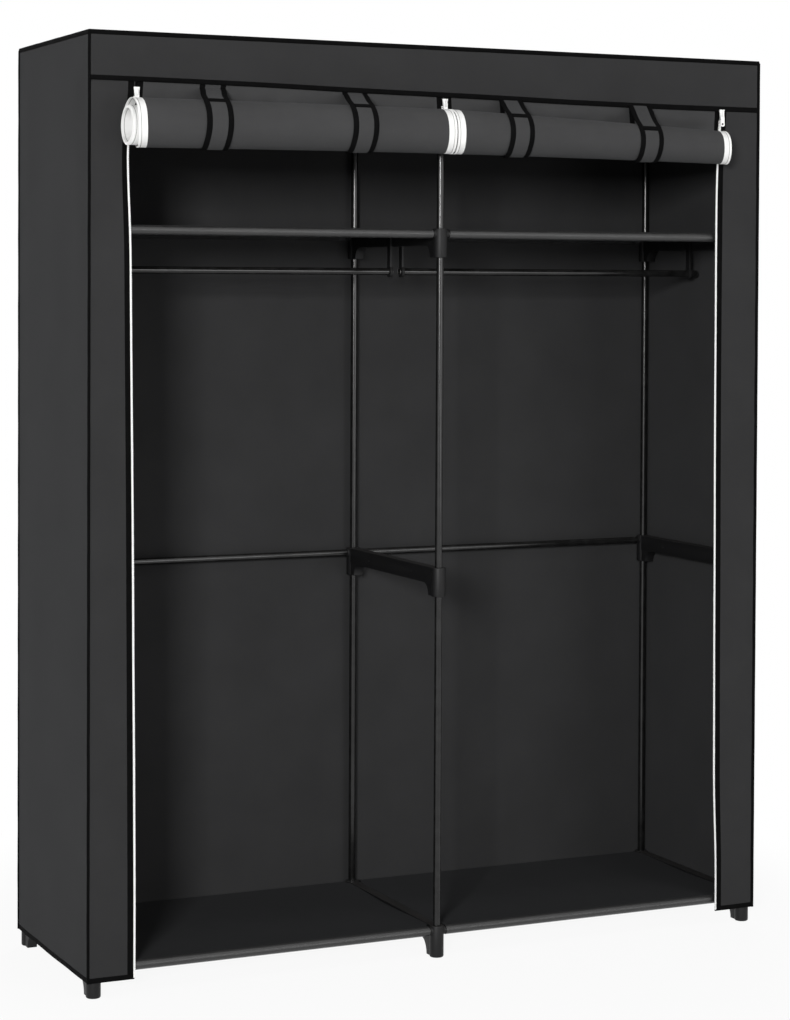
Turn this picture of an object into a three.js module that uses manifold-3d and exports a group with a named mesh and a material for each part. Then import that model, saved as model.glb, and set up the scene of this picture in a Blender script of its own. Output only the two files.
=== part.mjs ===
// Portable fabric wardrobe: a tube frame on six posts inside a sewn cloth cover.
// Both front doors are rolled up and strapped under the valance, so the inside is open.
// Millimetres, +Z up, the doors face -Y and the floor is z = 0.
// Every round piece has its facets at the same angles, so clearances stay even all round.

import * as THREE from 'three';
import { mergeVertices } from 'three/addons/utils/BufferGeometryUtils.js';
import Module from 'manifold-3d';

const wasm = await Module();
wasm.setup();

// Overall size of the cover, and how far its hem stays off the floor
const coverWidth = 1400;
const coverDepth = 430;
const overallHeight = 1730;
const hemHeight = 30;
const clothThickness = 2;

// Gap left between pieces that touch, and how far a cutting tool runs past a face
const seatGap = 0.3;
const cutOverrun = 1;

// Steel tubes of the posts, rails and hanging rods
const tubeDiameter = 14;
const tubeWall = 0.8;
const tubeSides = 12;

// Moulded depth beams: a sleeve at each end, a channel bar between them and a curved gusset
const sleeveDiameter = 27;
const sleeveHeight = 55;
const sleeveSides = 16;
const footThickness = 5;
const capThickness = 3;
const barWidth = 20;
const barHeight = 32;
const barWall = 2.5;
const gussetFoot = 12;
const gussetReach = 34;
const gussetSteps = 4;
const pinHoleDiameter = 5;
const pinHoleSpacing = 200;
const pinHoleSides = 8;

// Rail sockets on the sleeves: a collar that the rail butts against and a spigot inside it
const railDrop = 10;
const collarDiameter = 17;
const collarLength = 1.5;
const spigotLength = 20;

// Where the two levels between floor and roof lie: the shelf hangs so far under the roof,
// and the middle level is at a share of the way from the floor's to the shelf's
const shelfDrop = 341;
const middleLevelShare = 0.515;

// Hanging rods and the saddles that carry them, so far under the tops of the shelf's beams
const rodDrop = 81;
const rodPoke = 3;
const rodEndMargin = 8;
const saddleWidth = 14;
const saddleWall = 3;
const saddleLegWall = 5;
const saddleLipHeight = 22;
const saddleRingWall = 4;
const rodClearance = 0.3;

// Cloth decks of the floor and the shelf, with a pocket sewn round each rail
const deckSideMargin = 2;

// Front panels beside the doorway, and the valance over it with the centre zip's tape end
const frontPanelWidth = 88;
const valanceHeight = 94;
const tapeEndWidth = 14;
const tapeEndLength = 36;

// Rolled-up doors: a spiral of cloth that hangs from its seam under the valance
const doorThickness = 1.6;
const rollDiameter = 87;
const rollEndDiameter = 68;
const rollDrop = 115;
const rollStandOff = 12;
const rollPitch = 3;
const rollTurns = 3;
const stepsPerTurn = 16;
const rollStations = 6;
const rollCentreMargin = 3;
const rollTelescope = 34;
const rollOuterMargin = 6;
const webMargin = 8;
const webShoulder = 52;
const seamOverrun = 0.4;

// Straps that hold the rolls, centred at shares of the way from the middle to the side zip
const strapWidth = 50;
const strapThickness = 2;
const strapSeamDrop = 1.5;
const strapSteps = 20;
const strapShares = { left_outer: -0.77, left_inner: -0.31, right_inner: 0.22, right_outer: 0.686 };

// Zip sliders with a staple bridge, and the pulls that hang in it
const sliderWidth = 11;
const sliderHeight = 18;
const sliderDepth = 4;
const sliderNoseWidth = 7;
const sliderDrop = 3;
const bridgeWidth = 3;
const bridgeWindowHeight = 6;
const bridgeWindowDepth = 3;
const bridgeWall = 1.5;
const pullWidth = 7;
const pullTipWidth = 9;
const pullLength = 27;
const pullThickness = 1.5;
const pullBar = 1.5;
const pullSlotWidth = 4;
const pullSlotLength = 7;
const pullEyeLength = 8;
const pullEyeWidth = 4;
const pullRest = 0.55;
const pullTopGap = 0.65;

// Places worked out from the sizes above
const tubeRadius = tubeDiameter / 2;
const sleeveRadius = sleeveDiameter / 2;
const collarRadius = collarDiameter / 2;
const coverInnerX = coverWidth / 2 - clothThickness;
const coverInnerY = coverDepth / 2 - clothThickness;
const postX = coverInnerX - seatGap - sleeveRadius;
const postY = coverInnerY - seatGap - sleeveRadius;
const panelTop = overallHeight - clothThickness - seatGap;
const roofSleeveTop = panelTop;
const floorSleeveTop = sleeveHeight + footThickness;
const shelfSleeveTop = roofSleeveTop - shelfDrop;
const middleSleeveTop = THREE.MathUtils.lerp(floorSleeveTop, shelfSleeveTop, middleLevelShare);
const valanceBottom = panelTop - valanceHeight;
const zipX = coverWidth / 2 - frontPanelWidth;
const frontY = -coverDepth / 2;
const seamY = frontY + clothThickness / 2;
const seamZ = valanceBottom - seatGap - doorThickness / 2;
const rollBottom = valanceBottom - rollDrop;

// How far the rolls and their straps stand in front of the cover
const rollReach = rollStandOff + rollDiameter + seatGap + strapThickness;

// Surface of each material as it looks in daylight
const finishes = {
  cloth: new THREE.MeshStandardMaterial({ color: 0x36363a, roughness: 0.92, metalness: 0 }),
  tube: new THREE.MeshStandardMaterial({ color: 0x1b1b1c, roughness: 0.35, metalness: 0.5 }),
  plastic: new THREE.MeshStandardMaterial({ color: 0x161617, roughness: 0.55, metalness: 0 }),
  webbing: new THREE.MeshStandardMaterial({ color: 0x3a3a3d, roughness: 0.9, metalness: 0 }),
  zip: new THREE.MeshStandardMaterial({ color: 0xf2f2f0, roughness: 0.4, metalness: 0.1 }),
};

// A named piece with its own copy of a finish
function piece(name, geometry, finish) {
  const mesh = new THREE.Mesh(geometry, finishes[finish].clone());
  mesh.name = name;
  return mesh;
}

// Positions and triangles only, with shared corners joined and empty triangles left out
function weld(geometry) {
  const bare = new THREE.BufferGeometry();
  bare.setAttribute('position', geometry.getAttribute('position').clone());
  if (geometry.index) bare.setIndex(geometry.index.clone());
  const merged = mergeVertices(bare);
  const corners = merged.index.array;
  const kept = [];
  for (let i = 0; i < corners.length; i += 3) {
    const [a, b, c] = [corners[i], corners[i + 1], corners[i + 2]];
    if (a !== b && b !== c && c !== a) kept.push(a, b, c);
  }
  merged.setIndex(kept);
  return merged;
}

// A solid that can be joined and cut
function solid(geometry) {
  const welded = weld(geometry);
  const vertProperties = new Float32Array(welded.getAttribute('position').array);
  const triVerts = new Uint32Array(welded.index.array);
  return new wasm.Manifold(new wasm.Mesh({ numProp: 3, vertProperties, triVerts }));
}

// The geometry of a joined or cut solid
function geometryOf(body) {
  const { vertProperties, triVerts } = body.getMesh();
  const geometry = new THREE.BufferGeometry();
  geometry.setAttribute('position', new THREE.BufferAttribute(new Float32Array(vertProperties), 3));
  geometry.setIndex(new THREE.BufferAttribute(new Uint32Array(triVerts), 1));
  geometry.computeVertexNormals();
  return geometry;
}

// A box between two corners
function block(low, high) {
  const size = high.map((value, axis) => value - low[axis]);
  const geometry = new THREE.BoxGeometry(...size);
  return geometry.translate(...low.map((value, axis) => value + size[axis] / 2));
}

// A round bar or tube that stands on z = 0 round the Z axis
function roundBar(radius, length, sides, boreRadius = 0) {
  const profile = [
    new THREE.Vector2(boreRadius, 0),
    new THREE.Vector2(radius, 0),
    new THREE.Vector2(radius, length),
    new THREE.Vector2(boreRadius, length),
    new THREE.Vector2(boreRadius, 0),
  ];
  return weld(new THREE.LatheGeometry(profile, sides).rotateX(Math.PI / 2));
}

// The same bar laid along +X from x = 0
function roundBarAlongX(radius, length, sides, boreRadius = 0) {
  return roundBar(radius, length, sides, boreRadius).rotateY(Math.PI / 2);
}

// An outline drawn in the Y-Z plane, thickened along +X from x = 0
function extrudeAlongX(outline, length, curveSegments) {
  const geometry = new THREE.ExtrudeGeometry(outline, { depth: length, bevelEnabled: false, curveSegments });
  const toYZ = new THREE.Matrix4().makeBasis(
    new THREE.Vector3(0, 1, 0),
    new THREE.Vector3(0, 0, 1),
    new THREE.Vector3(1, 0, 0),
  );
  return geometry.applyMatrix4(toYZ);
}

// An outline drawn in the X-Z plane, thickened along -Y from y = 0
function extrudeAlongY(outline, length) {
  return new THREE.ExtrudeGeometry(outline, { depth: length, bevelEnabled: false }).rotateX(Math.PI / 2);
}

// A closed cloth body from rows of outer and inner points: rows[along][across] = [outer, inner]
function clothSolid(rows) {
  const along = rows.length;
  const across = rows[0].length;
  const positions = rows.flat(2).flatMap((point) => [point.x, point.y, point.z]);
  const corner = (i, j, side) => (i * across + j) * 2 + side;
  const triangles = [];
  const quad = (a, b, c, d) => triangles.push(a, b, c, a, c, d);
  for (let i = 0; i + 1 < along; i++) {
    for (let j = 0; j + 1 < across; j++) {
      quad(corner(i, j, 0), corner(i, j + 1, 0), corner(i + 1, j + 1, 0), corner(i + 1, j, 0));
      quad(corner(i, j, 1), corner(i + 1, j, 1), corner(i + 1, j + 1, 1), corner(i, j + 1, 1));
    }
    const last = across - 1;
    quad(corner(i, 0, 0), corner(i + 1, 0, 0), corner(i + 1, 0, 1), corner(i, 0, 1));
    quad(corner(i, last, 0), corner(i, last, 1), corner(i + 1, last, 1), corner(i + 1, last, 0));
  }
  for (let j = 0; j + 1 < across; j++) {
    const last = along - 1;
    quad(corner(0, j, 0), corner(0, j, 1), corner(0, j + 1, 1), corner(0, j + 1, 0));
    quad(corner(last, j, 0), corner(last, j + 1, 0), corner(last, j + 1, 1), corner(last, j, 1));
  }
  const geometry = new THREE.BufferGeometry();
  geometry.setAttribute('position', new THREE.Float32BufferAttribute(positions, 3));
  geometry.setIndex(triangles);
  geometry.computeVertexNormals();
  return geometry;
}

// Steel posts, from the foot's floor to the roof sleeve's cap
const postBottom = footThickness + seatGap;
const postLength = roofSleeveTop - capThickness - seatGap - postBottom;

function post(name, x, y) {
  const mesh = piece(name, roundBar(tubeRadius, postLength, tubeSides, tubeRadius - tubeWall), 'tube');
  mesh.position.set(x, y, postBottom);
  return mesh;
}

// Side view of a depth beam's bar with its two gussets
function beamOutline(height) {
  const footY = postY - sleeveRadius - gussetFoot;
  const reachY = postY - sleeveRadius - gussetReach;
  const underside = height - barHeight;
  const outline = new THREE.Shape();
  outline.moveTo(-postY, height);
  outline.lineTo(-postY, 0);
  outline.lineTo(-footY, 0);
  outline.quadraticCurveTo(-footY, underside, -reachY, underside);
  outline.lineTo(reachY, underside);
  outline.quadraticCurveTo(footY, underside, footY, 0);
  outline.lineTo(postY, 0);
  outline.lineTo(postY, height);
  return outline;
}

// A depth beam with its sleeve bottoms on z = 0. sides lists the directions of its rails,
// rows the posts that have rails, footed closes the sleeves below and capped above.
function depthBeam({ sides, rows, footed, capped }) {
  const height = sleeveHeight + (footed ? footThickness : 0);
  const bar = extrudeAlongX(beamOutline(height), barWidth, gussetSteps).translate(-barWidth / 2, 0, 0);
  let body = solid(bar);
  for (const y of [-postY, postY]) {
    body = body.add(solid(roundBar(sleeveRadius, height, sleeveSides).translate(0, y, 0)));
  }
  const collarReach = sleeveRadius + collarLength;
  const spigotRadius = tubeRadius - tubeWall - seatGap;
  for (const y of rows) {
    for (const side of sides) {
      const collar = roundBarAlongX(collarRadius, collarReach, tubeSides);
      const spigot = roundBarAlongX(spigotRadius, collarReach + spigotLength, tubeSides);
      for (const stub of [collar, spigot]) {
        const turned = side < 0 ? stub.rotateZ(Math.PI) : stub;
        body = body.add(solid(turned.translate(0, y, height - railDrop)));
      }
    }
  }
  const pocketY = postY - sleeveRadius - gussetReach;
  const pocketX = barWidth / 2 - barWall;
  const pocket = block([-pocketX, -pocketY, -cutOverrun], [pocketX, pocketY, height - barWall]);
  body = body.subtract(solid(pocket));
  for (const y of [-pinHoleSpacing / 2, pinHoleSpacing / 2]) {
    const hole = roundBarAlongX(pinHoleDiameter / 2, barWidth + 2 * cutOverrun, pinHoleSides);
    hole.translate(-barWidth / 2 - cutOverrun, y, height - barHeight / 2);
    body = body.subtract(solid(hole));
  }
  const boreBottom = footed ? footThickness : -cutOverrun;
  const boreTop = capped ? height - capThickness : height + cutOverrun;
  for (const y of [-postY, postY]) {
    const bore = roundBar(tubeRadius + seatGap, boreTop - boreBottom, tubeSides);
    body = body.subtract(solid(bore.translate(0, y, boreBottom)));
  }
  return geometryOf(body);
}

// A rail between two columns of the frame, from collar to collar
const railStart = sleeveRadius + collarLength + seatGap;

function rail(name, fromX, toX, y, z) {
  const length = toX - fromX - 2 * railStart;
  const tube = roundBarAlongX(tubeRadius, length, tubeSides, tubeRadius - tubeWall);
  const mesh = piece(name, tube, 'tube');
  mesh.position.set(fromX + railStart, y, z);
  return mesh;
}

// A cloth deck between two columns: a flat sheet with a pocket round the front and rear rail
function deck(name, fromX, toX, railZ) {
  const margin = railStart + deckSideMargin;
  const length = toX - fromX - 2 * margin;
  const pocketRadius = tubeRadius + seatGap;
  const outerRadius = pocketRadius + clothThickness;
  let body = solid(block([0, -postY, pocketRadius], [length, postY, outerRadius]));
  for (const y of [-postY, postY]) {
    const pocket = roundBarAlongX(outerRadius, length, tubeSides, pocketRadius);
    body = body.add(solid(pocket.translate(0, y, 0)));
  }
  const mesh = piece(name, geometryOf(body), 'cloth');
  mesh.position.set(fromX + margin, 0, railZ);
  return mesh;
}

// A hanging rod's saddle over a shelf beam, centred on the bar, z = 0 at the bar's top.
// legs lists the sides with a leg and ring, and the other side has a short lip.
const barFace = barWidth / 2 + seatGap;
const ringRadius = tubeRadius + rodClearance + saddleRingWall;

function saddle(legs) {
  const lipWall = coverInnerX - postX - barWidth / 2 - 2 * seatGap;
  const walls = { '-1': lipWall, 1: lipWall };
  for (const side of legs) walls[side] = saddleLegWall;
  const half = saddleWidth / 2;
  const top = seatGap + saddleWall;
  let body = solid(block([-barFace - walls[-1], -half, seatGap], [barFace + walls[1], half, top]));
  for (const side of [-1, 1]) {
    const hasLeg = legs.includes(side);
    const drop = hasLeg ? rodDrop : saddleLipHeight;
    const near = side * barFace;
    const far = side * (barFace + walls[side]);
    const leg = block([Math.min(near, far), -half, -drop], [Math.max(near, far), half, top]);
    body = body.add(solid(leg));
    if (!hasLeg) continue;
    const ring = roundBarAlongX(ringRadius, saddleLegWall, sleeveSides);
    body = body.add(solid(ring.translate(Math.min(near, far), 0, -rodDrop)));
    const hole = roundBarAlongX(tubeRadius + rodClearance, saddleLegWall + 2 * cutOverrun, tubeSides);
    body = body.subtract(solid(hole.translate(Math.min(near, far) - cutOverrun, 0, -rodDrop)));
  }
  return geometryOf(body);
}

// Where a roll's centre lies and how its cloth leaves the seam, at a given outer diameter
function rollSection(diameter) {
  const radius = diameter / 2;
  const centreY = frontY - rollStandOff - radius;
  const centreZ = rollBottom + radius;
  const midRadius = radius - doorThickness / 2;
  const seamAngle = Math.atan2(seamZ - centreZ, seamY - centreY);
  const seamDistance = Math.hypot(seamZ - centreZ, seamY - centreY);
  const webAngle = seamAngle - Math.acos(midRadius / seamDistance);
  return { centreY, centreZ, midRadius, webAngle };
}

// A point at a radius and angle in a roll's section
function onRoll(section, x, radius, angle) {
  return new THREE.Vector3(
    x,
    section.centreY + radius * Math.cos(angle),
    section.centreZ + radius * Math.sin(angle),
  );
}

// A point beside the seam: so far down the hanging cloth, and so far out from its middle
function onWeb(section, x, down, out) {
  const sine = Math.sin(section.webAngle);
  const cosine = Math.cos(section.webAngle);
  return new THREE.Vector3(x, seamY + down * sine + out * cosine, seamZ - down * cosine + out * sine);
}

// Outer diameter of a door's roll at x: the right one winds tighter towards its far end
function rollDiameterAt(x) {
  const share = THREE.MathUtils.clamp(x / zipX, 0, 1);
  return THREE.MathUtils.lerp(rollDiameter, rollEndDiameter, share);
}

// A rolled door between its zip at the side and the centre. side is -1 on the left. The cloth
// is cut straight, so turns that slide out at the left end draw in at the other.
function doorRoll(name, side, telescope) {
  const steps = rollTurns * stepsPerTurn;
  const half = doorThickness / 2;
  const lowX = side < 0 ? -zipX - rollOuterMargin : rollCentreMargin;
  const highX = side < 0 ? -rollCentreMargin : zipX - rollOuterMargin;
  const webLow = side < 0 ? -zipX + webMargin : webMargin;
  const webHigh = side < 0 ? -webMargin : zipX - webMargin;
  const stationsBetween = (low, high, pairAt) =>
    Array.from({ length: rollStations }, (_, j) => {
      const x = THREE.MathUtils.lerp(low, high, j / (rollStations - 1));
      return pairAt(x, rollSection(rollDiameterAt(x)));
    });
  const hanging = [-seamOverrun, webShoulder].map((down) =>
    stationsBetween(webLow, webHigh, (x, section) => [
      onWeb(section, x, down, half),
      onWeb(section, x, down, -half),
    ]),
  );
  const wound = Array.from({ length: steps + 1 }, (_, step) => {
    const share = step / steps;
    const slide = telescope * share;
    return stationsBetween(lowX - slide, highX - slide, (x, section) => {
      const angle = section.webAngle - 2 * Math.PI * rollTurns * share;
      const radius = section.midRadius - rollPitch * rollTurns * share;
      return [onRoll(section, x, radius + half, angle), onRoll(section, x, radius - half, angle)];
    });
  });
  return piece(name, clothSolid([...hanging, ...wound]), 'cloth');
}

// A strap from the seam's front, round the roll and back up behind the hanging cloth
function strap(name, centreX) {
  const offset = doorThickness / 2 + seatGap + strapThickness / 2;
  const rows = [];
  for (let step = -1; step <= strapSteps + 1; step++) {
    const row = [];
    for (const x of [centreX - strapWidth / 2, centreX + strapWidth / 2]) {
      const section = rollSection(rollDiameterAt(x));
      const radius = section.midRadius + offset;
      const start = onWeb(section, x, strapSeamDrop, -offset);
      const startAngle = Math.atan2(start.z - section.centreZ, start.y - section.centreY);
      const startDistance = Math.hypot(start.z - section.centreZ, start.y - section.centreY);
      const first = startAngle + Math.acos(radius / startDistance);
      const last = section.webAngle + 2 * Math.PI;
      const angle = THREE.MathUtils.lerp(first, last, THREE.MathUtils.clamp(step / strapSteps, 0, 1));
      const normal = new THREE.Vector3(0, Math.cos(angle), Math.sin(angle));
      let middle = onRoll(section, x, radius, angle);
      if (step < 0) middle = start;
      if (step > strapSteps) middle = onWeb(section, x, strapSeamDrop, offset);
      const outer = middle.clone().addScaledVector(normal, strapThickness / 2);
      const inner = middle.clone().addScaledVector(normal, -strapThickness / 2);
      row.push([inner, outer]);
    }
    rows.push(row);
  }
  return piece(name, clothSolid(rows), 'webbing');
}

// A zip slider whose back lies on y = 0 and whose top is z = 0, with its staple bridge in front
const bridgeCentre = -sliderHeight / 2;
const bridgeFront = sliderDepth + bridgeWindowDepth + bridgeWall;

function zipSlider() {
  const outline = new THREE.Shape();
  outline.moveTo(-sliderWidth / 2, 0);
  outline.lineTo(-sliderNoseWidth / 2, -sliderHeight);
  outline.lineTo(sliderNoseWidth / 2, -sliderHeight);
  outline.lineTo(sliderWidth / 2, 0);
  let body = solid(extrudeAlongY(outline, sliderDepth));
  const reach = bridgeWindowHeight / 2;
  const wide = bridgeWidth / 2;
  const staple = block(
    [-wide, -bridgeFront, bridgeCentre - reach - bridgeWall],
    [wide, -sliderDepth / 2, bridgeCentre + reach + bridgeWall],
  );
  const opening = block(
    [-wide - cutOverrun, -sliderDepth - bridgeWindowDepth, bridgeCentre - reach],
    [wide + cutOverrun, -sliderDepth, bridgeCentre + reach],
  );
  body = body.add(solid(staple)).subtract(solid(opening));
  return geometryOf(body);
}

// A zip pull that hangs straight down, its bar's middle on the X axis at the origin
function zipPull() {
  const outline = new THREE.Shape();
  const top = pullBar / 2;
  const tip = top - pullLength;
  outline.moveTo(-pullWidth / 2, top);
  outline.lineTo(-pullTipWidth / 2, tip);
  outline.lineTo(pullTipWidth / 2, tip);
  outline.lineTo(pullWidth / 2, top);
  let body = solid(extrudeAlongY(outline, pullThickness).translate(0, pullThickness / 2, 0));
  const slots = [
    [pullSlotWidth / 2, -pullBar / 2 - pullSlotLength, -pullBar / 2],
    [pullEyeWidth / 2, tip + pullBar, tip + pullBar + pullEyeLength],
  ];
  for (const [half, low, high] of slots) {
    const slot = block([-half, -pullThickness, low], [half, pullThickness, high]);
    body = body.subtract(solid(slot));
  }
  return geometryOf(body);
}

// The tube frame
const frame = new THREE.Group();
const columns = [
  { name: 'left', x: -postX, sides: [1] },
  { name: 'centre', x: 0, sides: [-1, 1] },
  { name: 'right', x: postX, sides: [-1] },
];
const bays = [
  { name: 'left', from: -postX, to: 0 },
  { name: 'right', from: 0, to: postX },
];
const rows = { front: -postY, rear: postY };
const levels = [
  { name: 'floor', top: floorSleeveTop, rails: ['front', 'rear'], footed: true, decked: true },
  { name: 'middle', top: middleSleeveTop, rails: ['rear'] },
  { name: 'shelf', top: shelfSleeveTop, rails: ['front', 'rear'], decked: true },
  { name: 'roof', top: roofSleeveTop, rails: ['front', 'rear'], capped: true },
];

for (const { name, x } of columns) {
  for (const [row, y] of Object.entries(rows)) frame.add(post(`post_${row}_${name}`, x, y));
}
for (const level of levels) {
  for (const { name, x, sides } of columns) {
    const options = {
      sides,
      rows: level.rails.map((row) => rows[row]),
      footed: level.footed,
      capped: level.capped,
    };
    const beam = piece(`${level.name}_beam_${name}`, depthBeam(options), 'plastic');
    beam.position.set(x, 0, level.footed ? 0 : level.top - sleeveHeight);
    frame.add(beam);
  }
  for (const bay of bays) {
    const railZ = level.top - railDrop;
    for (const row of level.rails) {
      frame.add(rail(`${level.name}_rail_${row}_${bay.name}`, bay.from, bay.to, rows[row], railZ));
    }
    if (level.decked) frame.add(deck(`${level.name}_cloth_${bay.name}`, bay.from, bay.to, railZ));
  }
}

// Hanging rods under the shelf, at mid depth
for (const { name, x, sides } of columns) {
  const carrier = piece(`rod_saddle_${name}`, saddle(sides), 'plastic');
  carrier.position.set(x, 0, shelfSleeveTop);
  frame.add(carrier);
}
for (const bay of bays) {
  const inner = barFace - rodPoke;
  const outer = coverInnerX - rodEndMargin;
  const start = bay.from < 0 ? -outer : inner;
  const tube = roundBarAlongX(tubeRadius, outer - inner, tubeSides, tubeRadius - tubeWall);
  const rod = piece(`hanging_rod_${bay.name}`, tube, 'tube');
  rod.position.set(start, 0, shelfSleeveTop - rodDrop);
  frame.add(rod);
}

// The sewn cover
const cover = new THREE.Group();
const backEdge = coverInnerY - seatGap;
const sideEdge = coverInnerX - seatGap;
const panelOf = (name, low, high) => cover.add(piece(name, block(low, high), 'cloth'));

panelOf(
  'cover_roof',
  [-coverWidth / 2, -coverDepth / 2, overallHeight - clothThickness],
  [coverWidth / 2, coverDepth / 2, overallHeight],
);
panelOf(
  'cover_side_left',
  [-coverWidth / 2, -coverDepth / 2, hemHeight],
  [-coverInnerX, coverDepth / 2, panelTop],
);
panelOf(
  'cover_side_right',
  [coverInnerX, -coverDepth / 2, hemHeight],
  [coverWidth / 2, coverDepth / 2, panelTop],
);
panelOf('cover_back', [-sideEdge, coverInnerY, hemHeight], [sideEdge, coverDepth / 2, panelTop]);

const frontTop = valanceBottom - seatGap;
panelOf('cover_front_left', [-sideEdge, frontY, hemHeight], [-zipX, -coverInnerY, frontTop]);
panelOf('cover_front_right', [zipX, frontY, hemHeight], [sideEdge, -coverInnerY, frontTop]);

const valance = solid(block([-sideEdge, frontY, valanceBottom], [sideEdge, -coverInnerY, panelTop]));
const tapeEnd = solid(
  block(
    [-tapeEndWidth / 2, frontY, valanceBottom - tapeEndLength],
    [tapeEndWidth / 2, -coverInnerY, valanceBottom + clothThickness],
  ),
);
cover.add(piece('cover_valance', geometryOf(valance.add(tapeEnd)), 'cloth'));

// The rolled doors and their straps
const doors = new THREE.Group();
doors.add(doorRoll('door_roll_left', -1, rollTelescope));
doors.add(doorRoll('door_roll_right', 1, 0));
for (const [name, share] of Object.entries(strapShares)) doors.add(strap(`strap_${name}`, share * zipX));

// The zips' sliders and pulls, parked at the top of each zip
const zips = new THREE.Group();
const pullY = -sliderDepth - pullRest - pullThickness / 2;
const pullZ = bridgeCentre + bridgeWindowHeight / 2 - pullTopGap - pullBar / 2;
for (const [name, x] of [['left', -zipX], ['centre', 0], ['right', zipX]]) {
  const runner = new THREE.Group();
  runner.position.set(x, frontY - seatGap, valanceBottom - sliderDrop);
  const pull = piece(`zip_pull_${name}`, zipPull(), 'zip');
  pull.position.set(0, pullY, pullZ);
  runner.add(piece(`zip_slider_${name}`, zipSlider(), 'zip'), pull);
  zips.add(runner);
}

// The origin is on the floor, at the middle of the width and of the depth with the rolls
const wardrobe = new THREE.Group();
wardrobe.add(frame, cover, doors, zips);
wardrobe.position.y = rollReach / 2;

export default wardrobe;
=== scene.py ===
# %% [markdown]
# # A portable fabric wardrobe
#
# The real thing is a black tube frame on six posts inside a sewn cloth cover, with both front doors
# rolled up and strapped under the valance. Its solids are already made and load here as a fixed
# frame. This lesson dresses them: each finished piece is laid exactly where its solid is. Lengths
# are metres, Z points up and the doors face -Y.

# %% Load the solids
import math

import bmesh
import bpy
import numpy as np
from mathutils import Matrix, Vector


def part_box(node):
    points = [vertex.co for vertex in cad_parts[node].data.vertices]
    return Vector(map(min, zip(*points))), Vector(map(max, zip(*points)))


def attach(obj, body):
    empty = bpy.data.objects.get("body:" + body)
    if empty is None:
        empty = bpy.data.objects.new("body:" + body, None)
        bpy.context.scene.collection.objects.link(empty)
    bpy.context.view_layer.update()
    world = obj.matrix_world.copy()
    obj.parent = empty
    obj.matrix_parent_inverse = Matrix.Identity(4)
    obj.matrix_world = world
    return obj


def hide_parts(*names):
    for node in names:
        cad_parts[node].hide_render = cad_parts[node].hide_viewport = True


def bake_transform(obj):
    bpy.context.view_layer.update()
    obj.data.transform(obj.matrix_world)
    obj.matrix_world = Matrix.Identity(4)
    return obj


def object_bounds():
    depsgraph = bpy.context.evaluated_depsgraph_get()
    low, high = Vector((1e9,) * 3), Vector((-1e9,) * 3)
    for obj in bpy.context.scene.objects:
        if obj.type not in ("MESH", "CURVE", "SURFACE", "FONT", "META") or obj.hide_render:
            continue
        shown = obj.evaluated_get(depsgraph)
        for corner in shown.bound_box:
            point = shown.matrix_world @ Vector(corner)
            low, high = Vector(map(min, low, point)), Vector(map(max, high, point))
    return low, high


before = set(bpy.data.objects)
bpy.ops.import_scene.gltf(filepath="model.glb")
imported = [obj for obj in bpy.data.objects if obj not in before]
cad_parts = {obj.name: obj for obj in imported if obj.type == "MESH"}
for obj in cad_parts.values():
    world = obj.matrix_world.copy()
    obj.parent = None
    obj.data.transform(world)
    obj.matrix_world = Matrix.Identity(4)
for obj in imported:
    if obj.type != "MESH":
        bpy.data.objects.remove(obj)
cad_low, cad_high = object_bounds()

print("box:", [round(v, 4) for v in cad_low], [round(v, 4) for v in cad_high])

# %% [markdown]
# ## Sizes that come back again and again
#
# What the solids leave out is chosen here: how thick the cloth and the walls of the tubes are, how
# wide a zip's tape is and how far apart its teeth stand.

# %% Places taken from the solids
COLUMNS = ("left", "centre", "right")
BAYS = ("left", "right")
LEFT, FRONT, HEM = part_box("cover_side_left")[0]
RIGHT, BACK, PANEL_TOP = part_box("cover_side_right")[1]
TOP = cad_high.z
VALANCE_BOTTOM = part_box("cover_front_left")[1].z + 0.0003
ZIP_X = -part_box("cover_front_left")[1].x


def middle_of(node):
    """The middle of a solid's box."""
    low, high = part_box(node)
    return (low + high) / 2


POST_FRONT, POST_REAR = middle_of("post_front_left").y, middle_of("post_rear_left").y
MID_Y = (FRONT + BACK) / 2
print(f"cover {RIGHT - LEFT:.3f} x {BACK - FRONT:.3f} x {TOP:.3f} m, posts at y {POST_FRONT:.4f}")

# %% Sizes of the cloth, the tubes and the zips
CLOTH = 0.0009
TUBE_RADIUS, TUBE_WALL = 0.007, 0.0009
SLEEVE_RADIUS = 0.0135
ZIP_PITCH, TAPE_WIDTH = 0.0032, 0.011
print(f"cloth {CLOTH * 1000} mm thick, tubes {TUBE_RADIUS * 2000} mm across")

# %% [markdown]
# ## The camera
#
# The photograph was taken from the left, about five metres off, with a long lens. Its place, turn
# and focal length were solved from the cover's corners, the posts and the rails. The principal
# point lies above the middle of the picture, which Blender's vertical lens shift reproduces.

# %% Camera
CAMERA_PLACE = Vector((-2.1061, -4.4699, 1.2814))
YAW, PITCH, ROLL = (math.radians(angle) for angle in (24.975, 1.443, 0.269))

forward = Vector((math.sin(YAW) * math.cos(PITCH), math.cos(YAW) * math.cos(PITCH), -math.sin(PITCH)))
level_right = Vector((math.cos(YAW), -math.sin(YAW), 0))
level_up = level_right.cross(forward)
right = level_right * math.cos(ROLL) + level_up * math.sin(ROLL)
up = level_up * math.cos(ROLL) - level_right * math.sin(ROLL)

bpy.ops.object.camera_add(location=CAMERA_PLACE)
camera = bpy.context.object
camera.name = "photo_camera"
camera.rotation_euler = Matrix((right, up, -forward)).transposed().to_euler()
camera.data.lens = 89.53
camera.data.shift_y = -0.1589
bpy.context.scene.camera = camera
bpy.context.scene.view_settings.view_transform = "Standard"
print("camera at", tuple(round(v, 3) for v in CAMERA_PLACE), "lens", camera.data.lens)

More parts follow.
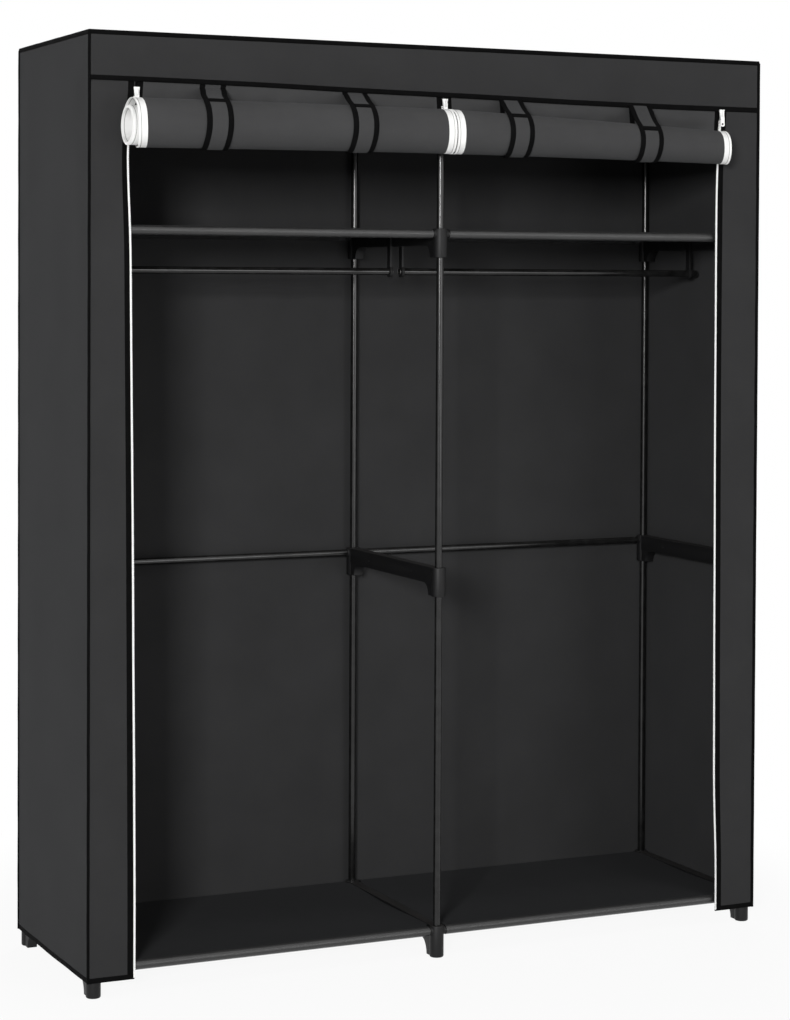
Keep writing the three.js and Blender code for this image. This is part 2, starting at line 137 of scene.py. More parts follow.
# %% [markdown]
# ## A white studio
#
# Every shader here is built from nodes, so a few small helpers keep the node work readable. An
# input is given either a value or the socket that feeds it. The background is white only for rays
# that come from the camera, a mirror or glass. All other rays meet a dimmer world, so the white
# does not flood the dark cloth with light.

# %% Helpers for node trees
def add(tree, kind, inputs=None, **settings):
    """Adds a node with its settings. Each input gets a value or the socket that feeds it."""
    node = tree.nodes.new(kind)
    for name, value in settings.items():
        setattr(node, name, value)
    for name, value in (inputs or {}).items():
        if isinstance(value, bpy.types.NodeSocket):
            tree.links.new(value, node.inputs[name])
        else:
            node.inputs[name].default_value = value
    return node


def calculated(tree, operation, *values):
    """The result of a Math node."""
    return add(tree, "ShaderNodeMath", dict(enumerate(values)), operation=operation).outputs[0]


def mixed_shader(tree, factor, first, second):
    """A shader between the ones of two nodes."""
    inputs = {0: factor, 1: first.outputs[0], 2: second.outputs[0]}
    return add(tree, "ShaderNodeMixShader", inputs).outputs[0]


def grey(level, blue=None):
    """A grey that may be a little cooler or warmer in its blue."""
    return (level, level, level if blue is None else blue, 1)


def seen_directly(tree):
    """A factor of 1 for rays from the camera, a mirror or glass."""
    path = add(tree, "ShaderNodeLightPath").outputs
    mirrored = calculated(tree, "MAXIMUM", path["Is Camera Ray"], path["Is Glossy Ray"])
    return calculated(tree, "MAXIMUM", mirrored, path["Is Transmission Ray"])


# %% World
AMBIENT = 0.19

world = bpy.data.worlds.new("white_studio")
bpy.context.scene.world = world
world.use_nodes = True
tree = world.node_tree
tree.nodes.clear()
dim = add(tree, "ShaderNodeBackground", {"Color": grey(1), "Strength": AMBIENT})
bright = add(tree, "ShaderNodeBackground", {"Color": grey(1), "Strength": 1.0})
add(tree, "ShaderNodeOutputWorld", {"Surface": mixed_shader(tree, seen_directly(tree), dim, bright)})
print("world: seen at 1.0, lights at", AMBIENT)

# %% [markdown]
# The floor is a pale sheet that turns into pure white away from the wardrobe, so no horizon shows,
# but keeps the soft shadow round the feet. Its fade reads Object coordinates, which do not move
# with the camera.

# %% Floor
FADE = {"From Min": 0.75, "From Max": 1.3, "To Min": 0.92, "To Max": 1.0}

bpy.ops.object.select_all(action="DESELECT")
bpy.ops.mesh.primitive_plane_add(size=40, location=(0, 0, 0))
floor = bpy.context.object
floor.name = "studio_floor"
paint = bpy.data.materials.new("studio_floor")
paint.use_nodes = True
tree = paint.node_tree
tree.nodes.clear()
place = add(tree, "ShaderNodeTexCoord").outputs["Object"]
distance = add(tree, "ShaderNodeVectorMath", {0: place}, operation="LENGTH").outputs["Value"]
fade = add(tree, "ShaderNodeMapRange", {"Value": distance, **FADE}, interpolation_type="SMOOTHSTEP")
white = calculated(tree, "MULTIPLY", fade.outputs[0], seen_directly(tree))
matte = add(tree, "ShaderNodeBsdfDiffuse", {"Color": grey(0.86)})
glow = add(tree, "ShaderNodeEmission", {"Color": grey(1), "Strength": 1.0})
add(tree, "ShaderNodeOutputMaterial", {"Surface": mixed_shader(tree, white, matte, glow)})
floor.data.materials.append(paint)
print("floor: white beyond", FADE["From Max"], "m")


# %% Soft lights
def soft_light(name, place, target, size, power):
    """A square softbox at a place, turned towards a target."""
    bpy.ops.object.light_add(type="AREA", location=place)
    lamp = bpy.context.object
    lamp.name = name
    lamp.data.size = size
    lamp.data.energy = power
    lamp.rotation_euler = (Vector(place) - Vector(target)).to_track_quat("Z", "Y").to_euler()


soft_light("key_left", (-4.3, -6.3, 2.2), (0, 0, 0.9), 1.2, 475)
soft_light("back_right", (3.4, 5.2, 2.3), (0, 0.2, 0.9), 2.2, 150)
soft_light("fill_right", (1.9, -5.4, 1.5), (0, 0, 0.9), 2.2, 70)
soft_light("side_left", (-4.2, 0.4, 2.6), (0, 0, 1.1), 1.8, 20)
soft_light("top_front", (0.2, -1.8, 3.4), (0, 0, 1.2), 1.6, 12)

# %% [markdown]
# ## Finishes
#
# Four effects are shared, so each is a node group that is built once: the grain of non-woven cloth,
# the ribs of woven tape, wear on the edges of hard pieces, and dust that settles on what faces up.
# Every material then places the groups with its own values. The cloth's grain reads the piece's own
# UV map, which is laid out in metres, so the grain keeps its real size and follows every fold.

# %% Helpers for the groups
def new_group(name, ins, outs):
    """An empty shader node group with named sockets, and what its input node gives."""
    group = bpy.data.node_groups.new(name, "ShaderNodeTree")
    for direction, sockets in (("INPUT", ins), ("OUTPUT", outs)):
        for socket, kind in sockets.items():
            group.interface.new_socket(name=socket, in_out=direction, socket_type=f"NodeSocket{kind}")
    return group, add(group, "NodeGroupInput").outputs


def noise(tree, place, scale, detail, roughness=0.5):
    """Noise at a place."""
    inputs = {"Vector": place, "Scale": scale, "Detail": detail, "Roughness": roughness}
    return add(tree, "ShaderNodeTexNoise", inputs).outputs[0]


def part_of_range(tree, value, low, high):
    """0 at the low value, 1 at the high one."""
    return add(tree, "ShaderNodeMapRange", {"Value": value, "From Min": low, "From Max": high}).outputs[0]


def between(tree, factor, first, second):
    """A colour between two others, chosen by a factor."""
    return add(tree, "ShaderNodeMix", {0: factor, 6: first, 7: second}, data_type="RGBA").outputs[2]


def apart(tree, vector):
    """The three numbers of a vector."""
    return add(tree, "ShaderNodeSeparateXYZ", {0: vector}).outputs


print("helpers ready")

# %% Node group: grain of non-woven cloth
cloth_grain, given = new_group(
    "cloth_grain", {"Surface": "Vector", "Pitch": "Float"}, {"Height": "Float", "Mottle": "Float"}
)
turns = calculated(cloth_grain, "DIVIDE", 2 * math.pi, given["Pitch"])
scaled = add(cloth_grain, "ShaderNodeVectorMath", {0: given["Surface"], "Scale": turns}, operation="SCALE")
across, along, _ = apart(cloth_grain, scaled.outputs[0])
across, along = calculated(cloth_grain, "COSINE", across), calculated(cloth_grain, "COSINE", along)
dimples = calculated(cloth_grain, "MULTIPLY", across, along)
fibres = noise(cloth_grain, given["Surface"], 1400.0, 3.0, 0.6)
broad = noise(cloth_grain, given["Surface"], 6.0, 5.0, 0.62)
height = calculated(cloth_grain, "MULTIPLY_ADD", dimples, 0.35, fibres)
speckle = calculated(cloth_grain, "MULTIPLY_ADD", fibres, 0.35, broad)
mottle = calculated(cloth_grain, "SUBTRACT", speckle, 0.17)
add(cloth_grain, "NodeGroupOutput", {"Height": height, "Mottle": mottle})
print("group:", cloth_grain.name)

# %% Node group: ribs of woven tape
tape_ribs, given = new_group("tape_ribs", {"Surface": "Vector", "Pitch": "Float"}, {"Height": "Float"})
turns = calculated(tape_ribs, "DIVIDE", 2 * math.pi, given["Pitch"])
across, along, _ = apart(tape_ribs, given["Surface"])
ribs = calculated(tape_ribs, "SINE", calculated(tape_ribs, "MULTIPLY", along, turns))
yarns = calculated(tape_ribs, "SINE", calculated(tape_ribs, "MULTIPLY", across, turns))
add(tape_ribs, "NodeGroupOutput", {"Height": calculated(tape_ribs, "MULTIPLY_ADD", yarns, 0.4, ribs)})
print("group:", tape_ribs.name)

# %% Node group: wear on edges
edge_wear, given = new_group(
    "edge_wear", {"Place": "Vector", "Colour": "Color", "Worn": "Color", "Amount": "Float"},
    {"Colour": "Color", "Mask": "Float"}
)
sharpness = add(edge_wear, "ShaderNodeNewGeometry").outputs["Pointiness"]
edge = part_of_range(edge_wear, sharpness, 0.52, 0.62)
patches = part_of_range(edge_wear, noise(edge_wear, given["Place"], 55.0, 4.0), 0.42, 0.66)
worn = calculated(edge_wear, "MULTIPLY", edge, patches)
worn = calculated(edge_wear, "MULTIPLY", worn, given["Amount"])
colour = between(edge_wear, worn, given["Colour"], given["Worn"])
add(edge_wear, "NodeGroupOutput", {"Colour": colour, "Mask": worn})
print("group:", edge_wear.name)

# %% Node group: dust on what faces up
DUST = (0.24, 0.23, 0.22, 1)

settled_dust, given = new_group(
    "settled_dust", {"Place": "Vector", "Colour": "Color", "Amount": "Float"},
    {"Colour": "Color", "Mask": "Float"}
)
facing = add(settled_dust, "ShaderNodeNewGeometry").outputs["Normal"]
upward = part_of_range(settled_dust, apart(settled_dust, facing)[2], 0.25, 1.0)
clouds = noise(settled_dust, given["Place"], 24.0, 6.0, 0.7)
dusty = calculated(settled_dust, "MULTIPLY", upward, clouds)
dusty = calculated(settled_dust, "MULTIPLY", dusty, given["Amount"])
colour = between(settled_dust, dusty, given["Colour"], DUST)
add(settled_dust, "NodeGroupOutput", {"Colour": colour, "Mask": dusty})
print("group:", settled_dust.name)


# %% Helpers that make a material
def new_material(name, **shader):
    """A material, its nodes and its Principled shader, whose constant inputs are set directly."""
    material = bpy.data.materials.new(name)
    material.use_nodes = True
    surface = material.node_tree.nodes["Principled BSDF"]
    for key, value in shader.items():
        surface.inputs[key.replace("_", " ")].default_value = value
    return material, material.node_tree, surface


def grouped(tree, group, **inputs):
    """What one of the shared groups gives for these inputs."""
    return add(tree, "ShaderNodeGroup", inputs, node_tree=group).outputs


def coat(tree, surface, colour, height, depth, strength=0.6):
    """Gives the shader its colour, and a bump of so many metres."""
    bump = add(tree, "ShaderNodeBump", {"Height": height, "Strength": strength, "Distance": depth})
    tree.links.new(colour, surface.inputs["Base Color"])
    tree.links.new(bump.outputs[0], surface.inputs["Normal"])


# %% [markdown]
# The cover is matte non-woven cloth, pressed with a lattice of small dimples. Its charcoal varies a
# little over a hand's width, and the fibres sparkle faintly. The doors' cloth is a shade lighter than
# the cover's, and the decks are nearly black. One function makes all three from two greys.

# %% Cloth
SHEEN_TINT = (0.8, 0.82, 0.86, 1)


def cloth_material(name, dark, light, pitch=0.0016, depth=0.00022, dust=0.06, roughness=0.92, gloss=0.08):
    """Non-woven cloth between a dark and a light grey."""
    material, tree, surface = new_material(name, Roughness=roughness, Specular_IOR_Level=gloss,
                                           Sheen_Weight=0.03, Sheen_Roughness=0.6, Sheen_Tint=SHEEN_TINT)
    flat = add(tree, "ShaderNodeUVMap", uv_map="flat_cloth").outputs[0]
    grain = grouped(tree, cloth_grain, Surface=flat, Pitch=pitch)
    colour = between(tree, grain["Mottle"], dark, light)
    dusty = grouped(tree, settled_dust, Place=flat, Colour=colour, Amount=dust)
    coat(tree, surface, dusty["Colour"], grain["Height"], depth)
    return material


cover_cloth = cloth_material("charcoal_cloth", grey(0.0190, 0.0194), grey(0.0305, 0.0311))
door_cloth = cloth_material("door_cloth", grey(0.032, 0.0325), grey(0.051, 0.052))
deck_cloth = cloth_material("deck_cloth", grey(0.0030), grey(0.0066, 0.0067), dust=0.010, gloss=0.04)
# A lighter copy of the deck cloth for the pockets round the rails: its lighter grey is a painted highlight
# where the wraps catch the light. Its low roughness and gloss give the real sheen.
pocket_cloth_painted_light = cloth_material("deck_pocket_cloth", grey(0.007), grey(0.024), pitch=0.003, depth=0.0004,
                              roughness=0.22, gloss=0.5)
strap_cloth = cloth_material("strap_cloth", grey(0.032, 0.0325), grey(0.050, 0.051), pitch=0.0013)
print("cloths: cover, doors, decks, deck pockets, straps")


# %% Bindings and zip tape
def tape_material(name, colour, worn, pitch=0.0009, gloss=0.02):
    """Ribbed woven tape, a little paler where it rubs."""
    material, tree, surface = new_material(name, Roughness=0.75, Specular_IOR_Level=gloss)
    flat = add(tree, "ShaderNodeUVMap", uv_map="flat_cloth").outputs[0]
    ribs = grouped(tree, tape_ribs, Surface=flat, Pitch=pitch)
    soil = noise(tree, flat, 35.0, 4.0, 0.6)
    coat(tree, surface, between(tree, soil, colour, worn), ribs["Height"], 0.00012)
    return material


black_binding = tape_material("black_binding", grey(0.0016), grey(0.0048, 0.005), pitch=0.0012)
black_tape = tape_material("black_zip_tape", grey(0.0016), grey(0.0042))
white_tape = tape_material("white_zip_tape", grey(0.84, 0.83), grey(0.76, 0.75), gloss=0.1)
# A grey copy of the white tape: painted shade for the groove between the teeth and the tape.
groove_shade_tape = tape_material("greyed_zip_tape", grey(0.40, 0.39), grey(0.28, 0.27))
print("tapes: binding, black, white and greyed zip tape")

# %% [markdown]
# Hard surfaces get three things: a fine grain or orange peel in the bump, rubbed edges and a trace
# of dust. The powder coat on the tubes is satin, which draws the long narrow highlights. The
# moulded plastic is duller, and the zip's enamel has a glossy coat over it.

# %% Powder coat, plastic and enamel
def hard_material(name, colour, worn, wear, dust, grain, depth, **shader):
    """A hard finish with fine grain, rubbed edges and some dust."""
    material, tree, surface = new_material(name, **shader)
    place = add(tree, "ShaderNodeTexCoord").outputs["Object"]
    rubbed = grouped(tree, edge_wear, Place=place, Colour=colour, Worn=worn, Amount=wear)
    dusty = grouped(tree, settled_dust, Place=place, Colour=rubbed["Colour"], Amount=dust)
    coat(tree, surface, dusty["Colour"], noise(tree, place, grain, 3.0, 0.55), depth, strength=0.35)
    return material


powder_coat = hard_material("black_powder_coat", grey(0.004), grey(0.03), 0.35, 0.05, 900, 0.00006,
                            Roughness=0.2, Specular_IOR_Level=0.38)
plastic = hard_material("moulded_plastic", grey(0.0055, 0.0058), grey(0.035), 0.35, 0.12, 1500, 0.00006,
                        Roughness=0.5, Specular_IOR_Level=0.2)
enamel = hard_material("white_enamel", grey(0.84, 0.83), grey(0.42), 0.5, 0.05, 700, 0.00004,
                       Roughness=0.28, Coat_Weight=0.4, Coat_Roughness=0.1)
teeth_white = hard_material("white_teeth", grey(0.80, 0.79), grey(0.6), 0.3, 0.05, 900, 0.00003,
                            Roughness=0.4)
bare_steel = hard_material("cut_steel", (0.46, 0.45, 0.44, 1), grey(0.7), 0.5, 0.1, 600, 0.00008,
                           Roughness=0.32, Metallic=1.0)
print("materials:", sorted(m.name for m in bpy.data.materials if m.name != "studio_floor"))

# %% [markdown]
# ## The workbench
#
# These helpers are the moves one makes by hand again and again: select one piece, pick faces or
# edges by where they lie, run an operator on them, and finish the piece. With no window there is
# nobody to click, so they are selected by a test in code.

# %% Selecting
def only(obj):
    """Selects one object alone and makes it active."""
    bpy.ops.object.select_all(action="DESELECT")
    obj.select_set(True)
    bpy.context.view_layer.objects.active = obj
    return obj


def added(name):
    """Names the primitive that was just added and settles its place in its mesh."""
    obj = bpy.context.object
    obj.name = obj.data.name = name
    bpy.ops.object.transform_apply(location=True, rotation=True, scale=True)
    return obj


def open_parts(obj, kind, test=None):
    """Enters edit mode with the faces (FACE) or edges (EDGE) selected that pass a test, or with all."""
    only(obj)
    bpy.ops.object.mode_set(mode="EDIT")
    bpy.ops.mesh.select_mode(type=kind)
    bpy.ops.mesh.select_all(action="DESELECT" if test else "SELECT")
    if test:
        edit = bmesh.from_edit_mesh(obj.data)
        for part in edit.faces if kind == "FACE" else edit.edges:
            if test(part):
                part.select_set(True)
        bmesh.update_edit_mesh(obj.data)


def close():
    """Leaves edit mode."""
    bpy.ops.object.mode_set(mode="OBJECT")


def lies_at(edge, level):
    """Whether an edge lies at a height."""
    return all(abs(vertex.co.z - level) < 1e-5 for vertex in edge.verts)


# %% Primitives and modifiers
def cube(name, low, high):
    """A box between two corners."""
    low, high = Vector(low), Vector(high)
    bpy.ops.object.select_all(action="DESELECT")
    bpy.ops.mesh.primitive_cube_add(size=1, location=(low + high) / 2)
    bpy.context.object.scale = high - low
    return added(name)


def block(name, x, half, front, back, bottom, top):
    """A box that lies evenly to both sides of an x."""
    return cube(name, (x - half, front, bottom), (x + half, back, top))


def rod(name, start, end, radius, sides=32):
    """A solid round bar from one point to another."""
    start, end = Vector(start), Vector(end)
    bpy.ops.object.select_all(action="DESELECT")
    bpy.ops.mesh.primitive_cylinder_add(vertices=sides, radius=radius, depth=(end - start).length,
                                        location=(start + end) / 2,
                                        rotation=(end - start).to_track_quat("Z", "Y").to_euler())
    return added(name)


def rod_across(name, start, stop, y, z, radius, sides=32):
    """A solid round bar from one x to another."""
    return rod(name, (start, y, z), (stop, y, z), radius, sides)


def modified(obj, kind, **settings):
    """Gives an object a modifier and applies it."""
    only(obj)
    modifier = obj.modifiers.new(kind.lower(), kind)
    for name, value in settings.items():
        setattr(modifier, name, value)
    bpy.ops.object.modifier_apply(modifier=modifier.name)
    return obj


def soften(obj, width, segments=2, angle=35):
    """Bevels every edge that is sharper than an angle."""
    return modified(obj, "BEVEL", width=width, segments=segments, limit_method="ANGLE",
                    angle_limit=math.radians(angle))


def combine(obj, others, operation="UNION"):
    """Joins other solids to one, or cuts them out of it, and clears them away."""
    for other in others:
        modified(obj, "BOOLEAN", operation=operation, object=other, solver="EXACT")
        bpy.data.objects.remove(other)
    return obj


# %% Copying and finishing
def duplicate(obj, name, move=(0, 0, 0), mirror=False):
    """A copy with its own mesh, moved, or mirrored to the other side of the wardrobe."""
    only(obj)
    bpy.ops.object.duplicate()
    copy = bpy.context.object
    copy.name = copy.data.name = name
    if mirror:
        copy.scale.x = -1
        bpy.ops.object.transform_apply(location=False, rotation=False, scale=True)
        open_parts(copy, "FACE")
        bpy.ops.mesh.normals_make_consistent(inside=False)
        close()
    else:
        copy.location = move
        bpy.ops.object.transform_apply(location=True, rotation=False, scale=False)
    return copy


def fit(obj, node, body, slot, *materials, angle=30):
    """Finishes a piece: smooth shading, its material, the solid it stands for and what it rides on."""
    only(obj)
    bpy.ops.object.shade_smooth_by_angle(angle=math.radians(angle))
    for material in materials:
        obj.data.materials.append(material)
    if body:
        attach(obj, body)
    if node:
        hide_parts(node)
    return obj


print("workbench ready")

# %% [markdown]
# ## Tubes
#
# Posts, rails and hanging rods are thin steel tube, 14 mm across. A cylinder with both ends inset
# and bridged through becomes an open tube with a real wall, and a small bevel breaks its rims. Each
# tube runs along the longest side of its solid's box.

# %% Making a tube
def fitted_tube(node, body, *materials):
    """The tube of one solid, open at both ends."""
    low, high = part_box(node)
    start, end = (low + high) / 2, (low + high) / 2
    longest = max(range(3), key=lambda axis: high[axis] - low[axis])
    start[longest], end[longest] = low[longest], high[longest]
    obj = rod(f"{node}_tube", start, end, TUBE_RADIUS)
    open_parts(obj, "FACE", lambda face: len(face.verts) > 4)
    bpy.ops.mesh.inset(thickness=TUBE_WALL, depth=0)
    bpy.ops.mesh.bridge_edge_loops()
    close()
    return fit(soften(obj, 0.0003, segments=1, angle=60), node, body, "tube", *materials)


# %% Posts and rails
posts = [f"post_{row}_{column}" for row in ("front", "rear") for column in COLUMNS]
rails = sorted(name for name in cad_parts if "_rail_" in name)
for node in posts + rails:
    fitted_tube(node, "root", powder_coat)
print("posts:", len(posts), "rails:", len(rails))

# %% [markdown]
# The hanging rods poke through their saddles' rings, so their sawn ends show as bright steel. The
# faces of both rims get the second material.

# %% Hanging rods
for bay in BAYS:
    piece = fitted_tube(f"hanging_rod_{bay}", f"{bay}_rod", powder_coat, bare_steel)
    open_parts(piece, "FACE", lambda face: abs(face.normal.x) > 0.5)
    piece.active_material_index = 1
    bpy.ops.object.material_slot_assign()
    close()
print("hanging rods:", len(BAYS))

# %% [markdown]
# ## Depth beams
#
# Each of the four levels has three depth beams, each moulded in one piece: a bar between two post
# sleeves, gussets that curve into them, and plugs that the rails slide on. The sleeves on the floor
# end in closed feet and those under the roof in closed caps. Left and centre beams are modelled, and
# the right one is the left one mirrored.

# %% Parts of a depth beam
LEVELS = ("floor", "middle", "shelf", "roof")
BAR_HEIGHT, BAR_HALF = 0.032, 0.010
FOOT_RIM, CAP_RIM, OPEN_RIM, SOLE, CAP_ROOF = 0.003, 0.002, 0.001, 0.005, 0.003
GUSSET_REACH, GUSSET_SPAN, GUSSET_HALF, IN_SLEEVE, IN_BAR = 0.0475, 0.022, 0.0094, 0.003, 0.004
COLLAR_LENGTH, COLLAR_RADIUS, PLUG_LENGTH, PLUG_RADIUS = 0.015, 0.0085, 0.035, 0.0059
RAIL_DROP, PIN_DROP, PIN_PLACE = 0.010, 0.016, 0.1
BORE, PIN_HOLE = 0.0073, 0.0025
CELLS, RIB, CELL_HALF, CELL_ROOF = 5, 0.002, 0.0075, 0.0025
# Parts that are joined end this far apart, because two faces in one plane join badly.
STEP = 0.0004


def sleeve(x, y, bottom, top, foot, cap):
    """A post sleeve with rounded rims. A foot or a cap is rounder."""
    obj = rod("sleeve", (x, y, bottom), (x, y, top), SLEEVE_RADIUS, sides=48)
    for level, width in ((bottom, FOOT_RIM if foot else OPEN_RIM), (top, CAP_RIM if cap else OPEN_RIM)):
        open_parts(obj, "EDGE", lambda edge: lies_at(edge, level))
        bpy.ops.mesh.bevel(offset=width, segments=3)
        close()
    return obj


def gusset(x, post_y, way, bottom, underside):
    """A gusset between a sleeve and the bar, hollowed by a quarter of an ellipse."""
    start, reach = post_y + way * IN_SLEEVE, post_y + way * GUSSET_REACH
    wedge = block("gusset", x, GUSSET_HALF, min(start, reach), max(start, reach), bottom + STEP,
                  underside + IN_BAR)
    bpy.ops.object.select_all(action="DESELECT")
    bpy.ops.mesh.primitive_cylinder_add(vertices=48, radius=GUSSET_SPAN, depth=0.04,
                                        location=(x, reach, bottom), rotation=(0, math.pi / 2, 0))
    bpy.context.object.scale.x = (underside - bottom + STEP) / GUSSET_SPAN
    return soften(combine(wedge, [added("hollow")], "DIFFERENCE"), 0.0008)


def rail_plug(x, y, z, way):
    """The collar that a rail stops at and the round plug inside it."""
    collar = soften(rod_across("collar", x, x + way * COLLAR_LENGTH, y, z, COLLAR_RADIUS), 0.0006)
    return [collar, rod_across("plug", x, x + way * PLUG_LENGTH, y, z, PLUG_RADIUS, sides=24)]


def hollow_cells(x, bottom, top):
    """The hollow cells in the underside of a bar, with ribs between them."""
    start, stop = POST_FRONT + GUSSET_REACH, POST_REAR - GUSSET_REACH
    length = (stop - start - (CELLS - 1) * RIB) / CELLS
    cells = []
    for count in range(CELLS):
        y = start + count * (length + RIB)
        cells.append(block("cell", x, CELL_HALF, y, y + length, bottom - 0.01, top - CELL_ROOF))
    return cells


# %% A whole beam
def depth_beam(node):
    """Builds one beam where its solid stands."""
    level, _, column = node.split("_")
    low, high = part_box(node)
    x = middle_of(f"post_front_{column}").x
    underside = high.z - BAR_HEIGHT
    bar = block(f"{node}_moulding", x, BAR_HALF, POST_FRONT, POST_REAR, underside, high.z - STEP)
    soften(bar, 0.0015)
    joined, cut = [], hollow_cells(x, underside, high.z)
    for way, y in ((1, POST_FRONT), (-1, POST_REAR)):
        joined.append(gusset(x, y, way, low.z, underside))
        joined.append(sleeve(x, y, low.z, high.z, level == "floor", level == "roof"))
        if level != "middle" or y == POST_REAR:
            for side in (1,) if column == "left" else (-1, 1):
                joined += rail_plug(x, y, high.z - RAIL_DROP, side)
        start = low.z + SOLE if level == "floor" else low.z - 0.01
        stop = high.z - CAP_ROOF if level == "roof" else high.z + 0.01
        cut.append(rod("bore", (x, y, start), (x, y, stop), BORE))
        pin_y, pin_z = MID_Y - way * PIN_PLACE, high.z - PIN_DROP
        cut.append(rod_across("pin_hole", x - 0.02, x + 0.02, pin_y, pin_z, PIN_HOLE, sides=20))
    return combine(combine(bar, joined), cut, "DIFFERENCE")


# %% All the beams
for level in LEVELS:
    for column in ("left", "centre"):
        node = f"{level}_beam_{column}"
        beam = depth_beam(node)
        if column == "left":
            other = f"{level}_beam_right"
            fit(duplicate(beam, f"{other}_moulding", mirror=True), other, "root", "plastic", plastic)
        fit(beam, node, "root", "plastic", plastic)
print("beams:", 3 * len(LEVELS))

# %% [markdown]
# ## Rod saddles
#
# A saddle hooks over the shelf beam at mid depth. One side ends in a short lip, the other in a leg
# with a ring for the hanging rod. The centre saddle carries both rods, so both of its sides are
# legs. It is cut from one block, so that its faces stay whole, and its edges are broken before the
# rings are put on.

# %% Saddles
ROD_Y, ROD_Z = middle_of("hanging_rod_left").y, middle_of("hanging_rod_left").z
LEG, LIP, LIP_HEIGHT, SADDLE_TOP, SADDLE_HALF = 0.005, 0.0032, 0.022, 0.003, 0.007
RING, CLEAR = 0.0113, 0.02


def saddle(node, sides):
    """A block over the beam, hollowed to a strap with one leg or two, each with its ring."""
    low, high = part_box(node)
    left, right = low.x + (LEG if -1 in sides else LIP), high.x - (LEG if 1 in sides else LIP)
    rear, below = ROD_Y + CLEAR, (ROD_Y - CLEAR, ROD_Z - CLEAR)
    name, front = f"{node}_moulding", ROD_Y - SADDLE_HALF
    hook = cube(name, (low.x, front, ROD_Z), (high.x, ROD_Y + SADDLE_HALF, high.z))
    combine(hook, [cube("hollow", (left, *below), (right, rear, high.z - SADDLE_TOP))], "DIFFERENCE")
    if -1 not in sides:
        under_lip = cube("under_lip", (low.x - CLEAR, *below), (left + 0.001, rear, high.z - LIP_HEIGHT))
        combine(hook, [under_lip], "DIFFERENCE")
    soften(hook, 0.0007)
    rings, holes = [], []
    for start, stop, side in ((low.x, left, -1), (right, high.x, 1)):
        if side in sides:
            ring = rod_across("ring", start - STEP, stop + STEP, ROD_Y, ROD_Z, RING, sides=48)
            rings.append(soften(ring, 0.0007))
            holes.append(rod_across("hole", start - 0.01, stop + 0.01, ROD_Y, ROD_Z, BORE, sides=40))
    return combine(combine(hook, rings), holes, "DIFFERENCE")


left_saddle = saddle("rod_saddle_left", (1,))
right_saddle = duplicate(left_saddle, "rod_saddle_right_moulding", mirror=True)
centre_saddle = saddle("rod_saddle_centre", (-1, 1))
for piece in (left_saddle, right_saddle, centre_saddle):
    fit(piece, piece.name.removesuffix("_moulding"), "root", "plastic", plastic)
print("saddles: 3")

# %% [markdown]
# ## Working with cloth
#
# Cloth starts as a flat grid in the size it was cut to. Its UV map keeps that flat layout in metres,
# and a placing rule then carries every point to where it hangs. The rule takes the distance across
# and along the sheet. Thickness comes last, evenly to both sides. Cords and piping are the same grid
# rolled shut, with its seam welded and its ends filled.

# %% Laying a grid
def numbers(members, field, width):
    """One field of all the members of a mesh, a row for each."""
    values = np.empty(len(members) * width)
    members.foreach_get(field, values)
    return values.reshape(-1, width)


def spread(shares, size, cells):
    """Distances for shares from 0 to 1: even for a count of cells, or spread over a list of distances."""
    if isinstance(cells, int):
        return shares * size
    return np.interp(shares * (len(cells) - 1), np.arange(len(cells)), cells)


def laid_grid(name, width, length, across, along, place):
    """A flat grid of a real size, carried to its place, with its flat layout kept as a UV map."""
    def in_metres(shares):
        return spread(shares[:, 0], width, across), spread(shares[:, 1], length, along)

    columns, rows = (cells if isinstance(cells, int) else len(cells) - 1 for cells in (across, along))
    bpy.ops.object.select_all(action="DESELECT")
    bpy.ops.mesh.primitive_grid_add(x_subdivisions=columns, y_subdivisions=rows, size=1, calc_uvs=True)
    obj = bpy.context.object
    obj.name = obj.data.name = name
    u, v = in_metres(numbers(obj.data.vertices, "co", 3) + 0.5)
    laid = np.stack(np.broadcast_arrays(*place(u, v)), axis=1)
    obj.data.vertices.foreach_set("co", laid.ravel())
    layout = obj.data.uv_layers.active
    layout.name = "flat_cloth"
    flat = np.stack(in_metres(numbers(layout.data, "uv", 2)), axis=1)
    layout.data.foreach_set("uv", flat.ravel())
    obj.data.update()
    return only(obj)


# %% Cloth and cords
def paint_by_sheet(obj, choose):
    """Gives each face the material that choose picks for its middle on the flat sheet."""
    flat = numbers(obj.data.uv_layers["flat_cloth"].data, "uv", 2)
    for face in obj.data.polygons:
        middle = flat[face.loop_start:face.loop_start + face.loop_total].mean(axis=0)
        face.material_index = choose(*middle)


def cloth(name, width, length, across, along, place, thickness=CLOTH):
    """A sheet of cloth with its thickness."""
    sheet = laid_grid(name, width, length, across, along, place)
    return modified(sheet, "SOLIDIFY", thickness=thickness, offset=0)


def piping(name, start, end, radius, height, sides=14, along=90):
    """A cord sewn along a straight edge, round or flattened, with a slight hand-sewn waver."""
    start, end = Vector(start), Vector(end)
    line = (end - start).normalized()
    out = line.orthogonal().normalized() if abs(line.z) > 0.5 else Vector((0, 0, 1)).cross(line)
    over = line.cross(out)
    girth = 2 * math.pi * radius

    def place(u, v):
        turn = 2 * math.pi * u / girth
        waver = 0.0003 * np.sin(v * 41) + 0.0002 * np.sin(v * 97 + 1)
        aside, above = radius * np.cos(turn) + waver, height * np.sin(turn)
        return [start[k] + line[k] * v + out[k] * aside + over[k] * above for k in range(3)]

    obj = laid_grid(name, girth, (end - start).length, sides, along, place)
    open_parts(obj, "EDGE")
    bpy.ops.mesh.remove_doubles(threshold=0.00002)
    bpy.ops.mesh.fill_holes(sides=sides)
    bpy.ops.mesh.normals_make_consistent(inside=False)
    close()
    return obj


# %% Paths and waves
def along_path(points, distance):
    """Where one is after a distance along a line of points."""
    points = np.asarray(points, float)
    steps = np.concatenate(([0], np.cumsum(np.linalg.norm(np.diff(points, axis=0), axis=1))))
    return [np.interp(distance, steps, points[:, axis]) for axis in range(points.shape[1])]


